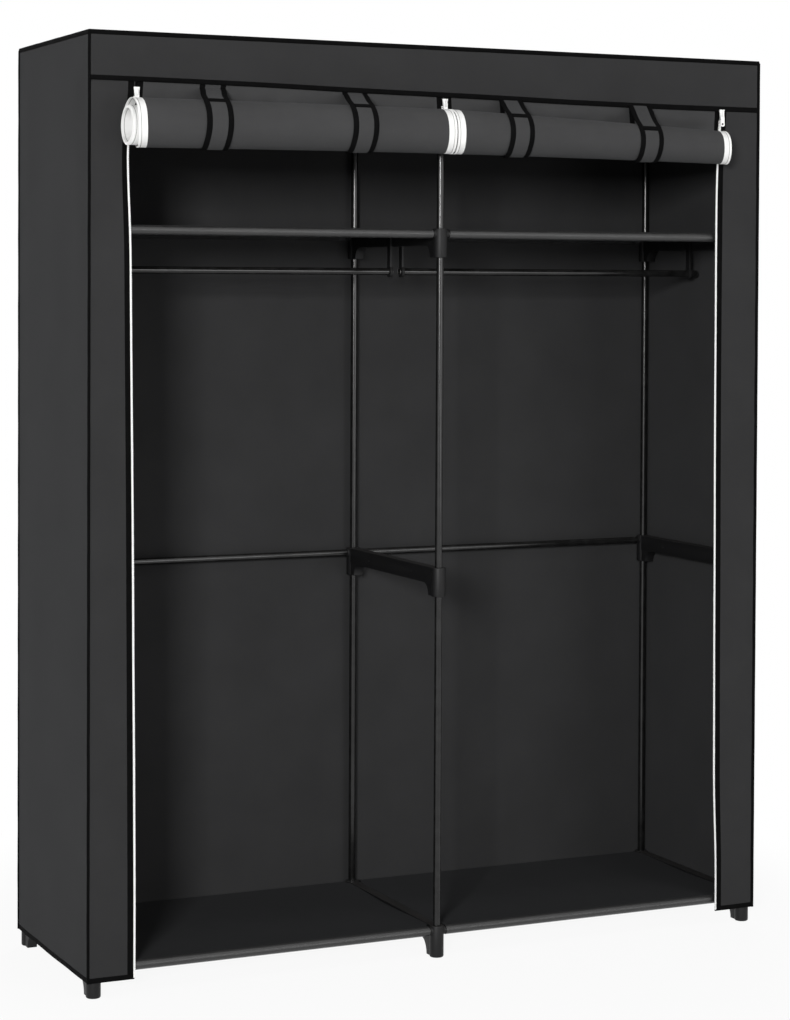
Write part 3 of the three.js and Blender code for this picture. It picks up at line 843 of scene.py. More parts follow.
def path_length(points):
    """The length of a line of points."""
    return float(np.linalg.norm(np.diff(np.asarray(points, float), axis=0), axis=1).sum())


def ease(value, start, end):
    """A smooth step from 0 to 1."""
    share = np.clip((value - start) / (end - start), 0, 1)
    return share * share * (3 - 2 * share)


def ripples(u, v, seed, longest, count=7):
    """Irregular soft waves between -1 and 1, mostly upright, as in hanging cloth."""
    chance = np.random.default_rng(seed)
    waves, weight = 0, 0
    for number in range(count):
        length = longest / (1 + 0.55 * number)
        turn, start = chance.uniform(-0.5, 0.5), chance.uniform(0, 2 * math.pi)
        bend = 0.35 * np.sin(2 * math.pi * v / (2.7 * longest) + start)
        run = u * math.cos(turn) + v * math.sin(turn)
        waves = waves + np.sin(2 * math.pi * run / length + start + bend) / (1 + number)
        weight += 1 / (1 + number)
    return waves / weight * 1.4


print("cloth helpers ready")

# %% [markdown]
# ## Decks
#
# Each deck is one piece of cloth. Its front and rear ends fold under the rails and are sewn up into
# pockets, and the rails pull it taut with only a slight sag. The path starts at one pocket's seam,
# goes round the rail, crosses to the other rail and mirrors the same fold.

# %% Decks
POCKET_DEPTH, DECK_WRAP = 0.034, 0.0084
EDGE_SAG, MORE_SAG, SAG_WAVE = 0.0035, 0.0025, 0.0008
DECK_SPREAD = {"floor": 0.0069, "shelf": 0.0}
WRAPPED = POCKET_DEPTH + DECK_WRAP * math.radians(210)


def deck_path(front_y, rear_y, z):
    """The section of a deck from one pocket seam to the other."""
    turns = np.radians(np.linspace(-60, -270, 22))
    front = [(front_y + POCKET_DEPTH, z + DECK_WRAP - 0.0012)]
    front += [(front_y + DECK_WRAP * math.cos(turn), z + DECK_WRAP * math.sin(turn)) for turn in turns]
    middle = (front_y + rear_y) / 2
    rear = [(2 * middle - y, height) for y, height in reversed(front)]
    return front + [(middle, z + DECK_WRAP)] + rear


for level in ("floor", "shelf"):
    for bay in BAYS:
        node = f"{level}_cloth_{bay}"
        low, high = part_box(node)
        section = deck_path(POST_FRONT, POST_REAR, middle_of(f"{level}_rail_front_{bay}").z)
        width, length = high.x - low.x, path_length(section)
        seed = 11 + LEVELS.index(level) * 2 + BAYS.index(bay)

        def lay(u, v):
            y, z = along_path(section, v)
            between_rails = ease(y, POST_FRONT + 0.02, MID_Y) * ease(-y, -POST_REAR + 0.02, -MID_Y)
            across = np.sin(math.pi * np.clip(u / width, 0, 1)) ** 0.5
            sag = between_rails * (EDGE_SAG + MORE_SAG * across + SAG_WAVE * ripples(u, v, seed, 0.3))
            flap = (v < POCKET_DEPTH) | (v > length - POCKET_DEPTH)
            clear = np.minimum(y - POST_FRONT, POST_REAR - y)
            wider = DECK_SPREAD[level] * ease(clear, 0.010, 0.019) * (2 * u / width - 1)
            return low.x + u + wider, y, z - np.where(flap, sag + 0.0002, sag)

        deck = cloth(f"{node}_sheet", width, length, 56, 190, lay)
        fit(deck, node, "root", "deck_cloth", deck_cloth, pocket_cloth_painted_light, angle=50)
        # Faces on the rail wraps take the lighter pocket cloth, which is painted light.
        paint_by_sheet(deck, lambda u, v: 1 if min(v, length - v) < WRAPPED else 0)

# %% [markdown]
# ## The cover
#
# The cover is sewn from a roof, two sides, a back, a narrow panel at each side of the doorway and
# the valance over it. Each panel is a rule that says where a point of its cloth hangs and that can
# also stand off from it, so tapes and bindings follow every wave of the panel they are sewn to.
# Cloth bellies out a little between its seams, but stays clear of the frame inside.

# %% Where the panels hang
DEPTH, WIDTH, DROP = BACK - FRONT, RIGHT - LEFT, PANEL_TOP - HEM
INSET = 0.001
SIDE_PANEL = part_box("cover_front_left")[1].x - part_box("cover_front_left")[0].x
PANEL_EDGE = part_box("cover_front_left")[0].x - LEFT
VALANCE_DROP = PANEL_TOP - VALANCE_BOTTOM
POST_REACH = middle_of("post_front_right").x
SIDE_SLACK, BACK_SLACK, ROOF_SAG = 0.003, 0.0035, 0.004


def slack(u, v, width, height, seed, amount):
    """How far cloth bellies out between its sewn edges. The hem hangs free."""
    sewn = ease(np.minimum(u, width - u), 0, 0.08) * ease(height - v, 0, 0.1)
    return amount * sewn * (0.55 + 0.45 * ripples(u, v * 0.5, seed, 0.55))


def left_side(u, v, off=0.0):
    """u runs from the back to the front, v up from the hem."""
    return LEFT + INSET - off - slack(u, v, DEPTH, DROP, 3, SIDE_SLACK), BACK - u, HEM + v


def right_side(u, v, off=0.0):
    """u runs from the front to the back."""
    return RIGHT - INSET + off + slack(u, v, DEPTH, DROP, 4, SIDE_SLACK), FRONT + u, HEM + v


def back_panel(u, v, off=0.0):
    """u runs from right to left, seen from the front."""
    return RIGHT - u, BACK - INSET + off + slack(u, v, WIDTH, DROP, 5, BACK_SLACK), HEM + v


def roof(u, v, off=0.0):
    """The roof sags a little in each bay, between the roof rails and beams."""
    x, y = LEFT + u, FRONT + v
    bay = np.abs(np.sin(math.pi * x / POST_REACH)) * np.sin(math.pi * np.clip(v / DEPTH, 0, 1)) ** 0.7
    return x, y, TOP - 0.0008 + off - ROOF_SAG * bay * (0.8 + 0.2 * ripples(u, v, 6, 0.4))


print(f"cover panels hang {DROP:.3f} m, the valance {VALANCE_DROP:.3f} m")

# %% [markdown]
# The zipped edges of the narrow front panels don't hang straight. The roll leans to the left and
# drags the left one outwards just below itself, and it eases back towards the hem. The right one is
# drawn a little into the doorway along its whole length. The bound edge of the valance waves too.
# Measured places on each of these edges make a smooth curve.

# %% Narrow front panels and valance
def smooth_curve(places, amounts):
    """A table of a smooth curve that runs close by a few measured places."""
    fine = np.linspace(places[0], places[-1], 400)
    window = np.hanning(45) / np.hanning(45).sum()
    rough = np.pad(np.interp(fine, places, amounts), 22, mode="edge")
    return fine, np.convolve(rough, window, mode="valid")


DRAWN_OUT = {
    "left": smooth_curve((0.03, 0.20, 0.85, 1.36, 1.48, 1.54, 1.58, 1.61, 1.64),
                         (0.000, 0.000, 0.005, 0.0105, 0.016, 0.0165, 0.011, 0.0, 0.0)),
    "right": smooth_curve((0.03, 0.13, 0.28, 0.60, 1.10, 1.45, 1.54, 1.60, 1.64),
                          (0.0, 0.0, -0.006, -0.0085, -0.0105, -0.0105, -0.009, -0.002, 0.0)),
}
EDGE_WAVE = smooth_curve((-0.70, -0.35, -0.08, 0.0, 0.25, 0.70),
                         (0.0078, 0.0064, 0.0016, 0.0004, -0.0038, -0.0060))
PANEL_WAVE, VALANCE_LAP, VALANCE_PUFF = 0.0016, 0.0022, 0.0012


def front_panel(side):
    """The rule of one narrow panel. u runs from its sewn outer edge to its zipped edge."""
    way = -1 if side == "left" else 1

    def place(u, v, off=0.0):
        z = HEM + v
        zipped = ZIP_X + np.interp(z, *DRAWN_OUT[side])
        outer = RIGHT - PANEL_EDGE
        x = outer + (zipped - outer) * u / SIDE_PANEL
        free = ease(u, 0, SIDE_PANEL) * ease(VALANCE_BOTTOM - z, 0, 0.12)
        wave = PANEL_WAVE * free * (0.4 + 0.6 * ripples(u * 3, v, 7 + way, 0.5))
        behind = VALANCE_LAP * ease(z, VALANCE_BOTTOM - 0.012, VALANCE_BOTTOM + 0.006)
        return way * x, FRONT + INSET + behind - off - wave, z

    return place


def edge_wave(x):
    """How far the valance's bound edge hangs above its straight line."""
    return np.interp(x, *EDGE_WAVE)


def valance(u, v, off=0.0):
    """u runs from left to right, v up from the bound edge, which waves a little."""
    x = LEFT + PANEL_EDGE + u
    low = (1 - v / VALANCE_DROP) * (0.0006 * np.sin(x * 9 + 0.6) + edge_wave(x))
    inner = ease(v, 0, 0.03) * ease(VALANCE_DROP - v, 0, 0.03)
    puff = VALANCE_PUFF * inner * (0.5 + 0.5 * ripples(u, v, 9, 0.5))
    return x, FRONT + INSET - off - puff, VALANCE_BOTTOM + low + v


print("drawn edges and the valance have their curves")

# %% [markdown]
# Bindings are tape folded over a raw edge, so their section is a narrow U with the cloth inside.
# Each follows its panel's rule. The corners carry a round cord of piping and the top edges a
# flatter, wider one.

# %% Bindings
BOUND, LIFT = 0.0085, 0.0009
FOLD = ((BOUND, LIFT), (0.0004, LIFT), (-0.0004, 0.6 * LIFT), (-0.0007, 0), (-0.0004, -0.6 * LIFT),
        (0.0004, -LIFT), (BOUND, -LIFT))
# Half the thickness and half the height of a round cord, a wider one and a flat one.
CORD, WIDE_CORD, FLAT_CORD = (0.0027, 0.0027), (0.0034, 0.0034), (0.0021, 0.0044)


def folded_tape(name, fold, length, along, place, thickness, past):
    """Tape folded over an edge. Its rule takes the distance along, inward from the edge and off it."""
    girth, reach = path_length(fold), fold[0][0]
    half = (0, reach * 0.5, reach - 0.0004, reach, reach + past)
    rows = (*half, girth / 2, *(girth - distance for distance in reversed(half)))
    return cloth(name, girth, length, rows, along, lambda u, v: place(v, *along_path(fold, u)), thickness)


def binding(name, start, length, along, place):
    """The bound lower edge of a panel."""
    tape = folded_tape(name, FOLD, length, along, lambda run, inward, off: place(start + run, inward, off),
                       0.0006, 0.0005)
    return fit(tape, None, "root", "cover_cloth", black_binding, angle=60)


def corner(edge, start, end, size=CORD):
    """A black welt on a seam."""
    cord = piping(f"piping_{edge}", start, end, *size)
    return fit(cord, None, "root", "cover_cloth", black_binding, angle=60)


def upright(edge, x, y, size=CORD):
    """A welt on an upright corner of the cover."""
    return corner(edge, (x, y, HEM - 0.0005), (x, y, TOP - 0.0045), size)


# %% Panels, bound hems and piping
def panel(node, width, height, across, along, place, bound=(), start=0.0, hem=True):
    """One panel with its bound lower edge."""
    sheet = cloth(f"{node}_sheet", width, height, across, along, place)
    fit(sheet, node, "root", "cover_cloth", cover_cloth, angle=50)
    edges = list(bound)
    if hem:
        edges.append(binding(f"{node}_binding", start, width - 2 * start, across * 2, place))
    print(f"{node}: {width:.3f} x {height:.3f} m")


ridge, near, far = TOP - 0.0042, FRONT + 0.0008, BACK - 0.0008
west, east = LEFT + 0.0008, RIGHT - 0.0008
top_edges = [
    corner("top_front", (LEFT, near, ridge), (RIGHT, near, ridge), FLAT_CORD),
    corner("top_back", (LEFT, far, ridge), (RIGHT, far, ridge), FLAT_CORD),
    corner("top_left", (west, FRONT, ridge), (west, BACK, ridge), FLAT_CORD),
    corner("top_right", (east, FRONT, ridge), (east, BACK, ridge), FLAT_CORD),
]
left_corners = [upright("front_left", west, near), upright("back_left", west, far)]
right_corners = [upright("front_right", east, near, WIDE_CORD), upright("back_right", east, far)]

panel("cover_roof", WIDTH - 0.002, DEPTH - 0.002, 140, 44, lambda u, v: roof(u + 0.001, v + 0.001),
      top_edges, hem=False)
panel("cover_side_left", DEPTH, DROP, 44, 150, left_side, left_corners, 0.002)
panel("cover_side_right", DEPTH, DROP, 44, 150, right_side, right_corners, 0.002)
panel("cover_back", WIDTH, DROP, 130, 150, back_panel, start=0.002)
panel("cover_valance", WIDTH - 2 * PANEL_EDGE, VALANCE_DROP, 160, 14, valance)

# %% [markdown]
# ## Zips
#
# Each zip is one row of teeth on a front panel and one on a door. All the teeth are copies of one
# small bevelled block. A row follows a rule like the cloth does: it asks the rule for three nearby
# points at each tooth, which gives the tooth its place, its direction and the way it faces.

# %% One tooth and rows of it
def tooth_model(*size):
    """A block of a width, length and height with its edges broken, as numpy points and faces."""
    half = Vector(size) / 2
    obj = soften(cube("tooth", -half, half), 0.0002, 1)
    points = np.array([vertex.co for vertex in obj.data.vertices])
    faces = [tuple(face.vertices) for face in obj.data.polygons]
    bpy.data.objects.remove(obj)
    return points, faces


def teeth_row(name, model, start, stop, rule):
    """Copies of a tooth along an edge. rule gives points for distances along it, aside and off it."""
    places, step = np.arange(start, stop, ZIP_PITCH), 0.0004

    def points_at(ahead, aside):
        return np.stack(np.broadcast_arrays(*rule(places + ahead, aside, 0.0)), axis=1)

    here = points_at(0.0, 0.0)
    ahead, aside = points_at(step, 0.0) - here, points_at(0.0, step) - here
    ahead /= np.linalg.norm(ahead, axis=1)[:, None]
    out = np.cross(aside, ahead)
    out /= np.linalg.norm(out, axis=1)[:, None]
    axes = np.stack((np.cross(ahead, out), ahead, out), axis=1)
    points, faces = model
    spread_out = (here[:, None] + points @ axes).reshape(-1, 3)
    mesh = bpy.data.meshes.new(name)
    mesh.from_pydata(spread_out.tolist(), [], [tuple(v + number * len(points) for v in face)
                                               for number in range(len(places)) for face in faces])
    row = bpy.data.objects.new(name, mesh)
    bpy.context.collection.objects.link(row)
    return row


panel_tooth = tooth_model(0.0031, 0.0022, 0.0019)
door_tooth = tooth_model(0.0036, 0.0022, 0.0009)
print("teeth: a block of", len(panel_tooth[1]), "faces")

# %% [markdown]
# The narrow front panels get their zip: a black tape sewn on the face of the cloth, then the white
# core and its teeth right on the edge. The row starts just above the hem and ends inside the
# slider, whose nose is its lower end.

# %% Narrow front panels with their zips
SLIDER_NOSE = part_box("zip_slider_left")[0].z
PANEL_HEIGHT = VALANCE_BOTTOM + 0.016 - HEM
CORE_WIDTH, CORE_INSET, TAPE_INSET = 0.0030, 0.0021, 0.0022
TAPE_OFF, CORE_OFF, TEETH_OFF = 0.0007, 0.0012, 0.0016

for side in BAYS:
    rule = front_panel(side)

    def taped(u, v):
        return rule(SIDE_PANEL - TAPE_INSET - TAPE_WIDTH + u, 0.001 + v, TAPE_OFF)

    def cored(u, v):
        return rule(SIDE_PANEL - CORE_INSET + u, 0.002 + v, CORE_OFF)

    def edge(distance, aside, off):
        return rule(SIDE_PANEL + aside, distance, TEETH_OFF + off)

    tape = cloth(f"zip_tape_{side}", TAPE_WIDTH, PANEL_HEIGHT - 0.002, 4, 200, taped, thickness=0.0004)
    fit(tape, None, "root", "cover_cloth", black_tape, angle=50)
    core = cloth(f"zip_core_{side}", CORE_WIDTH, SLIDER_NOSE - HEM - 0.004, 2, 200, cored, thickness=0.0012)
    fit(core, None, "root", "zip", white_tape, angle=50)
    row = teeth_row(f"zip_teeth_{side}", panel_tooth, 0.012, SLIDER_NOSE - HEM + 0.002, edge)
    fit(row, None, "root", "zip", teeth_white)
    panel(f"cover_front_{side}", SIDE_PANEL, PANEL_HEIGHT, 14, 200, rule,
          (tape, core))

# %% [markdown]
# ## The rolled doors
#
# A door is one sheet, 1.6 m long. It is sewn on behind the valance, hangs down behind its roll,
# turns under it and winds up the front and over the top, about eight times. The outer turn is
# loose and lifts off at the top. Both rolls hang askew: on its way round, the cloth drifts to the
# left, so the turns stand out of the left roll's end in steps. The right door is rolled tighter
# towards its outer end.

# %% Sizes of a roll
ROLL_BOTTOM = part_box("strap_left_outer")[0].z + 0.0026
ROLL_GAP, ROLL_REACH = 0.010, 0.606
TUCK, SEAM_Y, SEAM_Z = 0.010, FRONT + 0.0037, VALANCE_BOTTOM - 0.0011
WIND_START = math.radians(-10.5)
TURNS, TURN_PITCH, LOOSE, TIGHTER = 7.9, 0.00095, 0.013, 0.003
MEAN_RADIUS, MOST_TURNS = 0.0435, 16
STRAPS = {name: middle_of(name).x for name in sorted(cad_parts) if name.startswith("strap_")}
print("straps at x", {name: round(x, 4) for name, x in STRAPS.items()})


def roll_radius(x):
    """The left roll is nearly even, the right one tapers towards its outer end."""
    return 0.0440 + 0.0024 * np.clip(-x / ROLL_REACH, 0, 1) - 0.0092 * np.clip(x / ROLL_REACH, 0, 1)


def roll_bottom(x):
    """The rolls hang a little higher at the middle of the wardrobe than at its sides."""
    return ROLL_BOTTOM + 0.0045 * np.cos(2.5 * x)


def drift(x):
    """How far a roll's cloth has slid to the left by the time it comes up the front."""
    return np.where(x < 0, 0.0180 - 0.0105 * x, 0.0213 - 0.0027 * x)


def winding_radius(radius, turns):
    """The cloth's distance from the roll's middle after so many turns."""
    angle = WIND_START - 2 * math.pi * turns
    lift_off = ease(turns, 0.55, 1.05) * (TIGHTER + LOOSE * (1 + np.sin(angle)) / 2)
    return radius - 0.0008 - TURN_PITCH * turns - lift_off


fine_turns = np.linspace(0, MOST_TURNS, 5000)
radii = winding_radius(MEAN_RADIUS, fine_turns)
arcs = (radii[1:] + radii[:-1]) * math.pi * np.diff(fine_turns)
lengths = np.concatenate(([0], np.cumsum(np.hypot(np.diff(radii), arcs))))
FROM_MIDDLE = (radii[0] * math.cos(WIND_START), radii[0] * math.sin(WIND_START))
start_y = FRONT - ROLL_GAP - MEAN_RADIUS + FROM_MIDDLE[0]
start_z = ROLL_BOTTOM + MEAN_RADIUS + FROM_MIDDLE[1]
WEB = math.hypot(SEAM_Y - start_y, SEAM_Z + 0.001 - start_z)
DOOR_LENGTH = TUCK + WEB + np.interp(TURNS, fine_turns, lengths)
print(f"door: {DOOR_LENGTH:.3f} m long, web {WEB:.3f} m")


def turns_taken(distance, radius):
    """How many turns a length of cloth makes. A thinner roll takes more of them."""
    turns = np.interp(distance, lengths, fine_turns)
    for _ in range(8):
        missing = 2 * math.pi * (MEAN_RADIUS - radius) * turns
        turns = np.interp(distance + missing, lengths, fine_turns)
    return turns


# %% [markdown]
# A door's rule joins three stretches of its cloth. The tuck stands behind the valance, the web hangs
# from the seam to the roll with soft pleats between the straps, and the rest is wound. A small ridge
# runs along each border where the zip is sewn on.

# %% Where a door's cloth lies
BAND, WEB_BAND, INNER_BAND = 0.0160, 0.0125, 0.034
RIDGE, RIDGE_HEIGHT, RIDGE_HALF = 0.0145, 0.0003, 0.0014
PLEAT, PUFF = 0.0068, 0.0065
# How far the sewn edge is drawn towards its zip, and the seed of the pleats.
SEWN = {"left": (0.0085, 21), "right": (0.0062, 22)}


def between_straps(x, aside):
    """1 where a door's web is free to move, 0 where a strap or its own edge holds it."""
    held = ease(aside, 0.012, 0.05)
    for strap_x in STRAPS.values():
        held = held * (1 - np.exp(-((x - strap_x - 0.004) / 0.044) ** 4))
    return held


def door_rule(bay, low_x, width, telescope):
    """The rule of one door. u runs from left to right, v from its sewn edge to its rolled one."""
    toward, seed = SEWN[bay]

    def place(u, v, off=0.0):
        straight_x, aside = low_x + u, np.minimum(u, width - u)
        size, from_zip = roll_radius(straight_x), u if bay == "left" else width - u
        wound, down = turns_taken(v - TUCK - WEB, size), np.clip((v - TUCK) / WEB, 0, 1)
        x = straight_x + toward * (1 - down) * (1 - ease(from_zip, 0.0, 0.08))
        steps = 0.75 * ease(wound, 0.68, 1.12) + 0.25 * np.clip((wound - 1.2) / (TURNS - 1.2), 0, 1)
        x = x - telescope * steps - drift(straight_x) * (0.1 * down + 0.9 * ease(wound, 0, 0.5))

        off = off + RIDGE_HEIGHT * np.exp(-((aside - RIDGE) / RIDGE_HALF) ** 2)
        radius, angle = winding_radius(size, wound) + off, WIND_START - 2 * math.pi * wound
        middle_y, middle_z = FRONT - ROLL_GAP - size, roll_bottom(straight_x) + size
        roll_y, roll_z = middle_y + radius * np.cos(angle), middle_z + radius * np.sin(angle)

        free = between_straps(x, aside)
        pleats = PLEAT * free * np.sin(math.pi * down) * ripples(u, down * 0.16 + v * 0.5, seed, 0.21)
        puff = PUFF * free * np.sin(math.pi * np.clip(down / 0.42, 0, 1))
        puff = puff * (0.7 + 0.3 * ripples(u, down * 0, 23, 0.16))
        seam = SEAM_Z + 0.001 + edge_wave(straight_x)
        web_y = SEAM_Y + (middle_y + FROM_MIDDLE[0] - SEAM_Y) * down ** 1.1 - off - pleats - puff
        web_z = seam + (middle_z + FROM_MIDDLE[1] - seam) * down

        in_tuck, in_roll = v < TUCK, wound > 0
        return (x, np.where(in_roll, roll_y, np.where(in_tuck, SEAM_Y + 0.0002, web_y)),
                np.where(in_roll, roll_z, np.where(in_tuck, seam + TUCK - v, web_z)))

    return place


def hinged(piece):
    """Bakes the piece's placement into its mesh."""
    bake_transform(piece)
    return piece


# %% [markdown]
# The zip runs along both edges of a door, so both ends of its roll are white tape. On the short web
# above the roll the tape shows its black side. The grid has lines exactly at both borders, and each
# face takes its material from where it lies on the flat sheet.

# %% Doors
DOOR_ENDS = {"left": (-0.618, -0.003), "right": (0.003, 0.606)}
TELESCOPE = {"left": 0.006, "right": 0.003}
# A thin line of each white border is painted grey: painted shade in the groove beside the teeth.
GROOVE_SHADE_LINE = (0.0040, 0.0053)
BORDER = (0, 0.0021, *GROOVE_SHADE_LINE, 0.0090, WEB_BAND, 0.0135, RIDGE, 0.0155)

for bay in BAYS:
    low_x, high_x = DOOR_ENDS[bay]
    node, width = f"door_roll_{bay}", high_x - low_x
    rule = door_rule(bay, low_x, width, TELESCOPE[bay])
    inner = np.linspace(BAND, width - BAND, 49)
    columns = (*BORDER, *inner, *(width - distance for distance in reversed(BORDER)))
    rows = (*np.linspace(0, TUCK, 3), *np.linspace(TUCK + 0.001, TUCK + WEB, 26),
            *np.linspace(TUCK + WEB + 0.003, DOOR_LENGTH, 400))

    def finish_of(u, v):
        """0 for the cloth, 1 for white tape, 2 for its black side and 3 for the painted shade of the groove
        beside its teeth.
        """
        aside = min(u, width - u)
        if v < TUCK + WEB:
            return 2 if aside < WEB_BAND else 0
        if aside > (INNER_BAND if v > DOOR_LENGTH - 0.27 else BAND):
            return 0
        return 3 if GROOVE_SHADE_LINE[0] < aside < GROOVE_SHADE_LINE[1] else 1

    door = cloth(f"{node}_sheet", width, DOOR_LENGTH, columns, rows, rule, thickness=0.0006)
    fit(door, node, None, "cover_cloth", door_cloth, white_tape, black_tape, groove_shade_tape, angle=50)
    paint_by_sheet(door, finish_of)
    for edge_name, at, way in (("a", 0.0, 1), ("b", width, -1)):
        def edge(distance, aside, off):
            return rule(at + way * 0.0012 + aside, distance, 0.0003 + off)

        name = f"door_teeth_{bay}_{edge_name}"
        row = teeth_row(name, door_tooth, TUCK + 0.020, DOOR_LENGTH - 0.004, edge)
        fit(row, None, f"{bay}_door", "zip", teeth_white)
    hinged(door)
    print(f"{node}: {width:.3f} x {DOOR_LENGTH:.3f} m")

# %% [markdown]
# ## Straps
#
# Four straps hold the rolls. Each is a flat band with bound edges that starts at the seam, comes
# down over the front of the roll, passes under it and returns up its back. A short black bar lies
# across the band on the upper front of the roll. It is drawn wide enough to take in the shade where
# the strap turns over the roll, so part of it is painted shade.

# %% The path of a strap
STRAP_WIDTH, STRAP_EDGE, STRAP_OFF, STRAP_SHIFT, STRAP_DRIFT = 0.050, 0.0100, 0.0021, 0.008, 0.84
STRAP_TOP, BAR_WIDTH, BAR_LENGTH, BAR_DOWN = SEAM_Z + 0.0145, 0.031, 0.0095, 0.025
STRAP_FOLD = ((STRAP_EDGE, 0.0007), (0.0005, 0.0007), (0.0, 0.0004), (-0.0002, 0.0), (0.0, -0.0004),
              (0.0005, -0.0007), (STRAP_EDGE, -0.0007))


def strap_path(radius, bottom):
    """The section of a strap round a roll of this radius: front part, wrap, rear part."""
    middle_y, middle_z = FRONT - ROLL_GAP - radius, bottom + radius
    wrap = radius - 0.0008 + STRAP_OFF
    back, up = FRONT + 0.003 - middle_y, SEAM_Z - middle_z
    toward, opening = math.atan2(up, back), math.acos(wrap / math.hypot(up, back))
    turns = np.linspace(toward + opening, toward - opening + 2 * math.pi, 60)
    points = [(FRONT + 0.0028, STRAP_TOP), (FRONT + 0.0026, SEAM_Z + 0.0006)]
    points += [(middle_y + wrap * math.cos(turn), middle_z + wrap * math.sin(turn)) for turn in turns]
    return points + [(FRONT + 0.0044, SEAM_Z + 0.0002), (FRONT + 0.0050, STRAP_TOP)]


def strap_rule(strap_x):
    """The rule of one strap. u runs across it, v from its front end to its rear one."""
    centre_radius = float(roll_radius(strap_x))
    path = strap_path(centre_radius, float(roll_bottom(strap_x)))
    end = path_length(path)

    def place(u, v, off=0.0):
        leaning = ease(v, -0.01, 0.11) * ease(-v, -end + 0.05, -end + 0.2)
        slid = STRAP_DRIFT * drift(strap_x) + STRAP_SHIFT
        x = strap_x + STRAP_SHIFT - STRAP_WIDTH / 2 + u - slid * leaning
        on_roll = ease(v, 0.03, 0.08) * ease(-v, -end + 0.03, -end + 0.08)
        out = off + (roll_radius(x) - centre_radius) * on_roll
        y, z = along_path(path, v)
        y2, z2 = along_path(path, v + 0.0008)
        y1, z1 = along_path(path, v - 0.0008)
        size = np.hypot(y2 - y1, z2 - z1)
        return x, y + out * (z2 - z1) / size, z - out * (y2 - y1) / size

    return place, path


# %% Bands, bound edges and bars
for node, strap_x in STRAPS.items():
    bay = node.split("_")[1]
    rule, path = strap_rule(strap_x)
    length = path_length(path)
    band = cloth(f"{node}_band", STRAP_WIDTH - 0.004, length, 12, 150,
                 lambda u, v: rule(0.002 + u, v), 0.001)
    hinged(fit(band, node, None, "strap", strap_cloth, angle=50))
    for edge_name, at, way in (("a", 0.0, 1), ("b", STRAP_WIDTH, -1)):
        edge = folded_tape(f"{node}_edge_{edge_name}", STRAP_FOLD, length, 150,
                           lambda run, inward, off: rule(at + way * inward, run, off), 0.0005, 0.0004)
        hinged(fit(edge, None, None, "strap", black_binding, angle=60))
    # The black bar across the strap; part of its width is painted shade along the top of the roll.
    down = path_length(path[1:3]) + BAR_DOWN
    bar = cloth(f"{node}_bar", BAR_WIDTH, BAR_LENGTH, 10, 6,
                lambda u, v: rule(STRAP_EDGE + u, down + v, 0.0012), 0.0011)
    fit(bar, None, f"{bay}_door", "strap", black_binding, angle=60)
    print(f"{node}: {STRAP_WIDTH:.3f} x {length:.3f} m")

# %% [markdown]
# ## Sliders and pulls
#
# A slider is two plates round a channel for the teeth, with a wedge that parts them and slits at the
# sides for the tape. An arched bridge on its face carries the pull, a flat tab with an eye at the
# top and a round hole at the tip. One of each is modelled at the left zip and copied to the others.

# %% Slider
BODY_DEPTH, BODY_NOSE, CHANNEL_NOSE = 0.004, 0.64, 0.55
SIDE_WALL, CHANNEL_HALF, SLIT_HALF, WEDGE_HALF = 0.0012, 0.0009, 0.0004, 0.0012
ARCH_HALF, ARCH_FRONT = 0.0011, 0.0018


def narrowed(obj, x, below, share):
    """Scales the lower end of a block about its middle line."""
    open_parts(obj, "FACE", lambda face: face.calc_center_median().z < below and face.normal.z < -0.9)
    middle = (x, middle_of("zip_slider_left").y, below)
    bpy.ops.transform.resize(value=(share, 1, 1), center_override=middle)
    close()
    return obj


def slider_model():
    """The slider of the left zip, where its solid is."""
    low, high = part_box("zip_slider_left")
    x, half, plate_front = (low.x + high.x) / 2, (high.x - low.x) / 2, high.y - BODY_DEPTH
    middle = (plate_front + high.y) / 2
    body = block("zip_slider_left_body", x, half, plate_front, high.y, low.z, high.z)
    soften(narrowed(body, x, low.z + 0.001, BODY_NOSE), 0.0007)
    below, above = low.z - 0.001, high.z + 0.001

    def inside(name, half_width, half_depth, bottom, top):
        return block(name, x, half_width, middle - half_depth, middle + half_depth, bottom, top)

    channel = inside("channel", half - SIDE_WALL, CHANNEL_HALF, below, above)
    slit = inside("slit", half + 0.001, SLIT_HALF, below, above)
    combine(body, [narrowed(channel, x, low.z, CHANNEL_NOSE), slit], "DIFFERENCE")
    wedge = inside("wedge", WEDGE_HALF, WEDGE_HALF, low.z + 0.004, high.z - 0.004)
    arch = block("arch", x, ARCH_HALF, low.y, plate_front + 0.0004, low.z + 0.0032, high.z - 0.0022)
    under = block("under", x, 0.004, low.y + ARCH_FRONT, plate_front, low.z + 0.0048, high.z - 0.0042)
    bridge = combine(soften(arch, 0.0009, 3), [soften(under, 0.0007)], "DIFFERENCE")
    return combine(body, [soften(wedge, 0.0006), bridge])


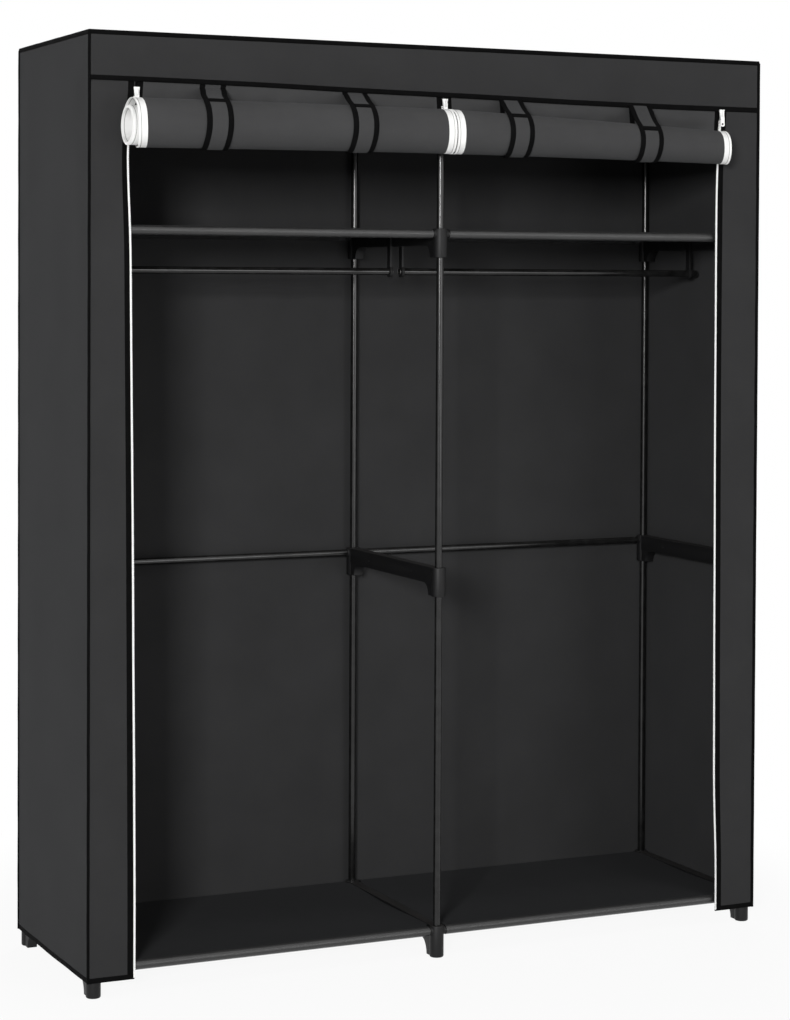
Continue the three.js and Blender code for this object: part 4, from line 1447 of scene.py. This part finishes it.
# %% Pull
TAB_SHARE, EYE_HALF, HOLE_UP, HOLE_RADIUS = 0.75, 0.0017, 0.0048, 0.0022


def pull_model():
    """The pull of the left zip, hanging straight down."""
    low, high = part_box("zip_pull_left")
    x, front, back = (low.x + high.x) / 2, low.y - 0.002, high.y + 0.002
    tab = cube("zip_pull_left_tab", low, high)
    open_parts(tab, "FACE", lambda face: face.normal.z > 0.9)
    bpy.ops.transform.resize(value=(TAB_SHARE, 1, 1), center_override=(x, low.y, high.z))
    close()

    def is_rim(edge, level):
        return lies_at(edge, level) and abs(edge.verts[0].co.x - edge.verts[1].co.x) < 1e-5

    for level, width in ((high.z, 0.0015), (low.z, 0.0028)):
        open_parts(tab, "EDGE", lambda edge: is_rim(edge, level))
        bpy.ops.mesh.bevel(offset=width, segments=5)
        close()
    eye = soften(block("eye", x, EYE_HALF, front, back, high.z - 0.0092, high.z - 0.0016), 0.0008)
    hole = rod("hole", (x, front, low.z + HOLE_UP), (x, back, low.z + HOLE_UP), HOLE_RADIUS)
    return soften(combine(tab, [eye, hole], "DIFFERENCE"), 0.00025)


# %% Three of each
slider, pull = slider_model(), pull_model()
for column in COLUMNS:
    across = Vector((middle_of(f"zip_slider_{column}").x - middle_of("zip_slider_left").x, 0, 0))
    for model, part in ((slider, "slider"), (pull, "pull")):
        piece = model if column == "left" else duplicate(model, f"zip_{part}_{column}_piece", across)
        piece.data.materials.clear()
        fit(piece, f"zip_{part}_{column}", f"{column}_{part}", "zip", enamel)
print("sliders and pulls: 3 of each")

# %% Tape end behind the centre slider
END_WIDTH, END_LENGTH = 0.010, 0.022


def end_of_tape(u, v):
    """A short straight end of tape that hangs behind the slider."""
    return u - END_WIDTH / 2, FRONT + INSET + 0 * u, VALANCE_BOTTOM + 0.001 - END_LENGTH + v


end_tape = cloth("zip_tape_centre_end", END_WIDTH, END_LENGTH, 4, 6, end_of_tape, 0.0004)
fit(end_tape, None, "root", "cover_cloth", black_tape, angle=50)
print("tape end:", END_WIDTH, "x", END_LENGTH, "m")
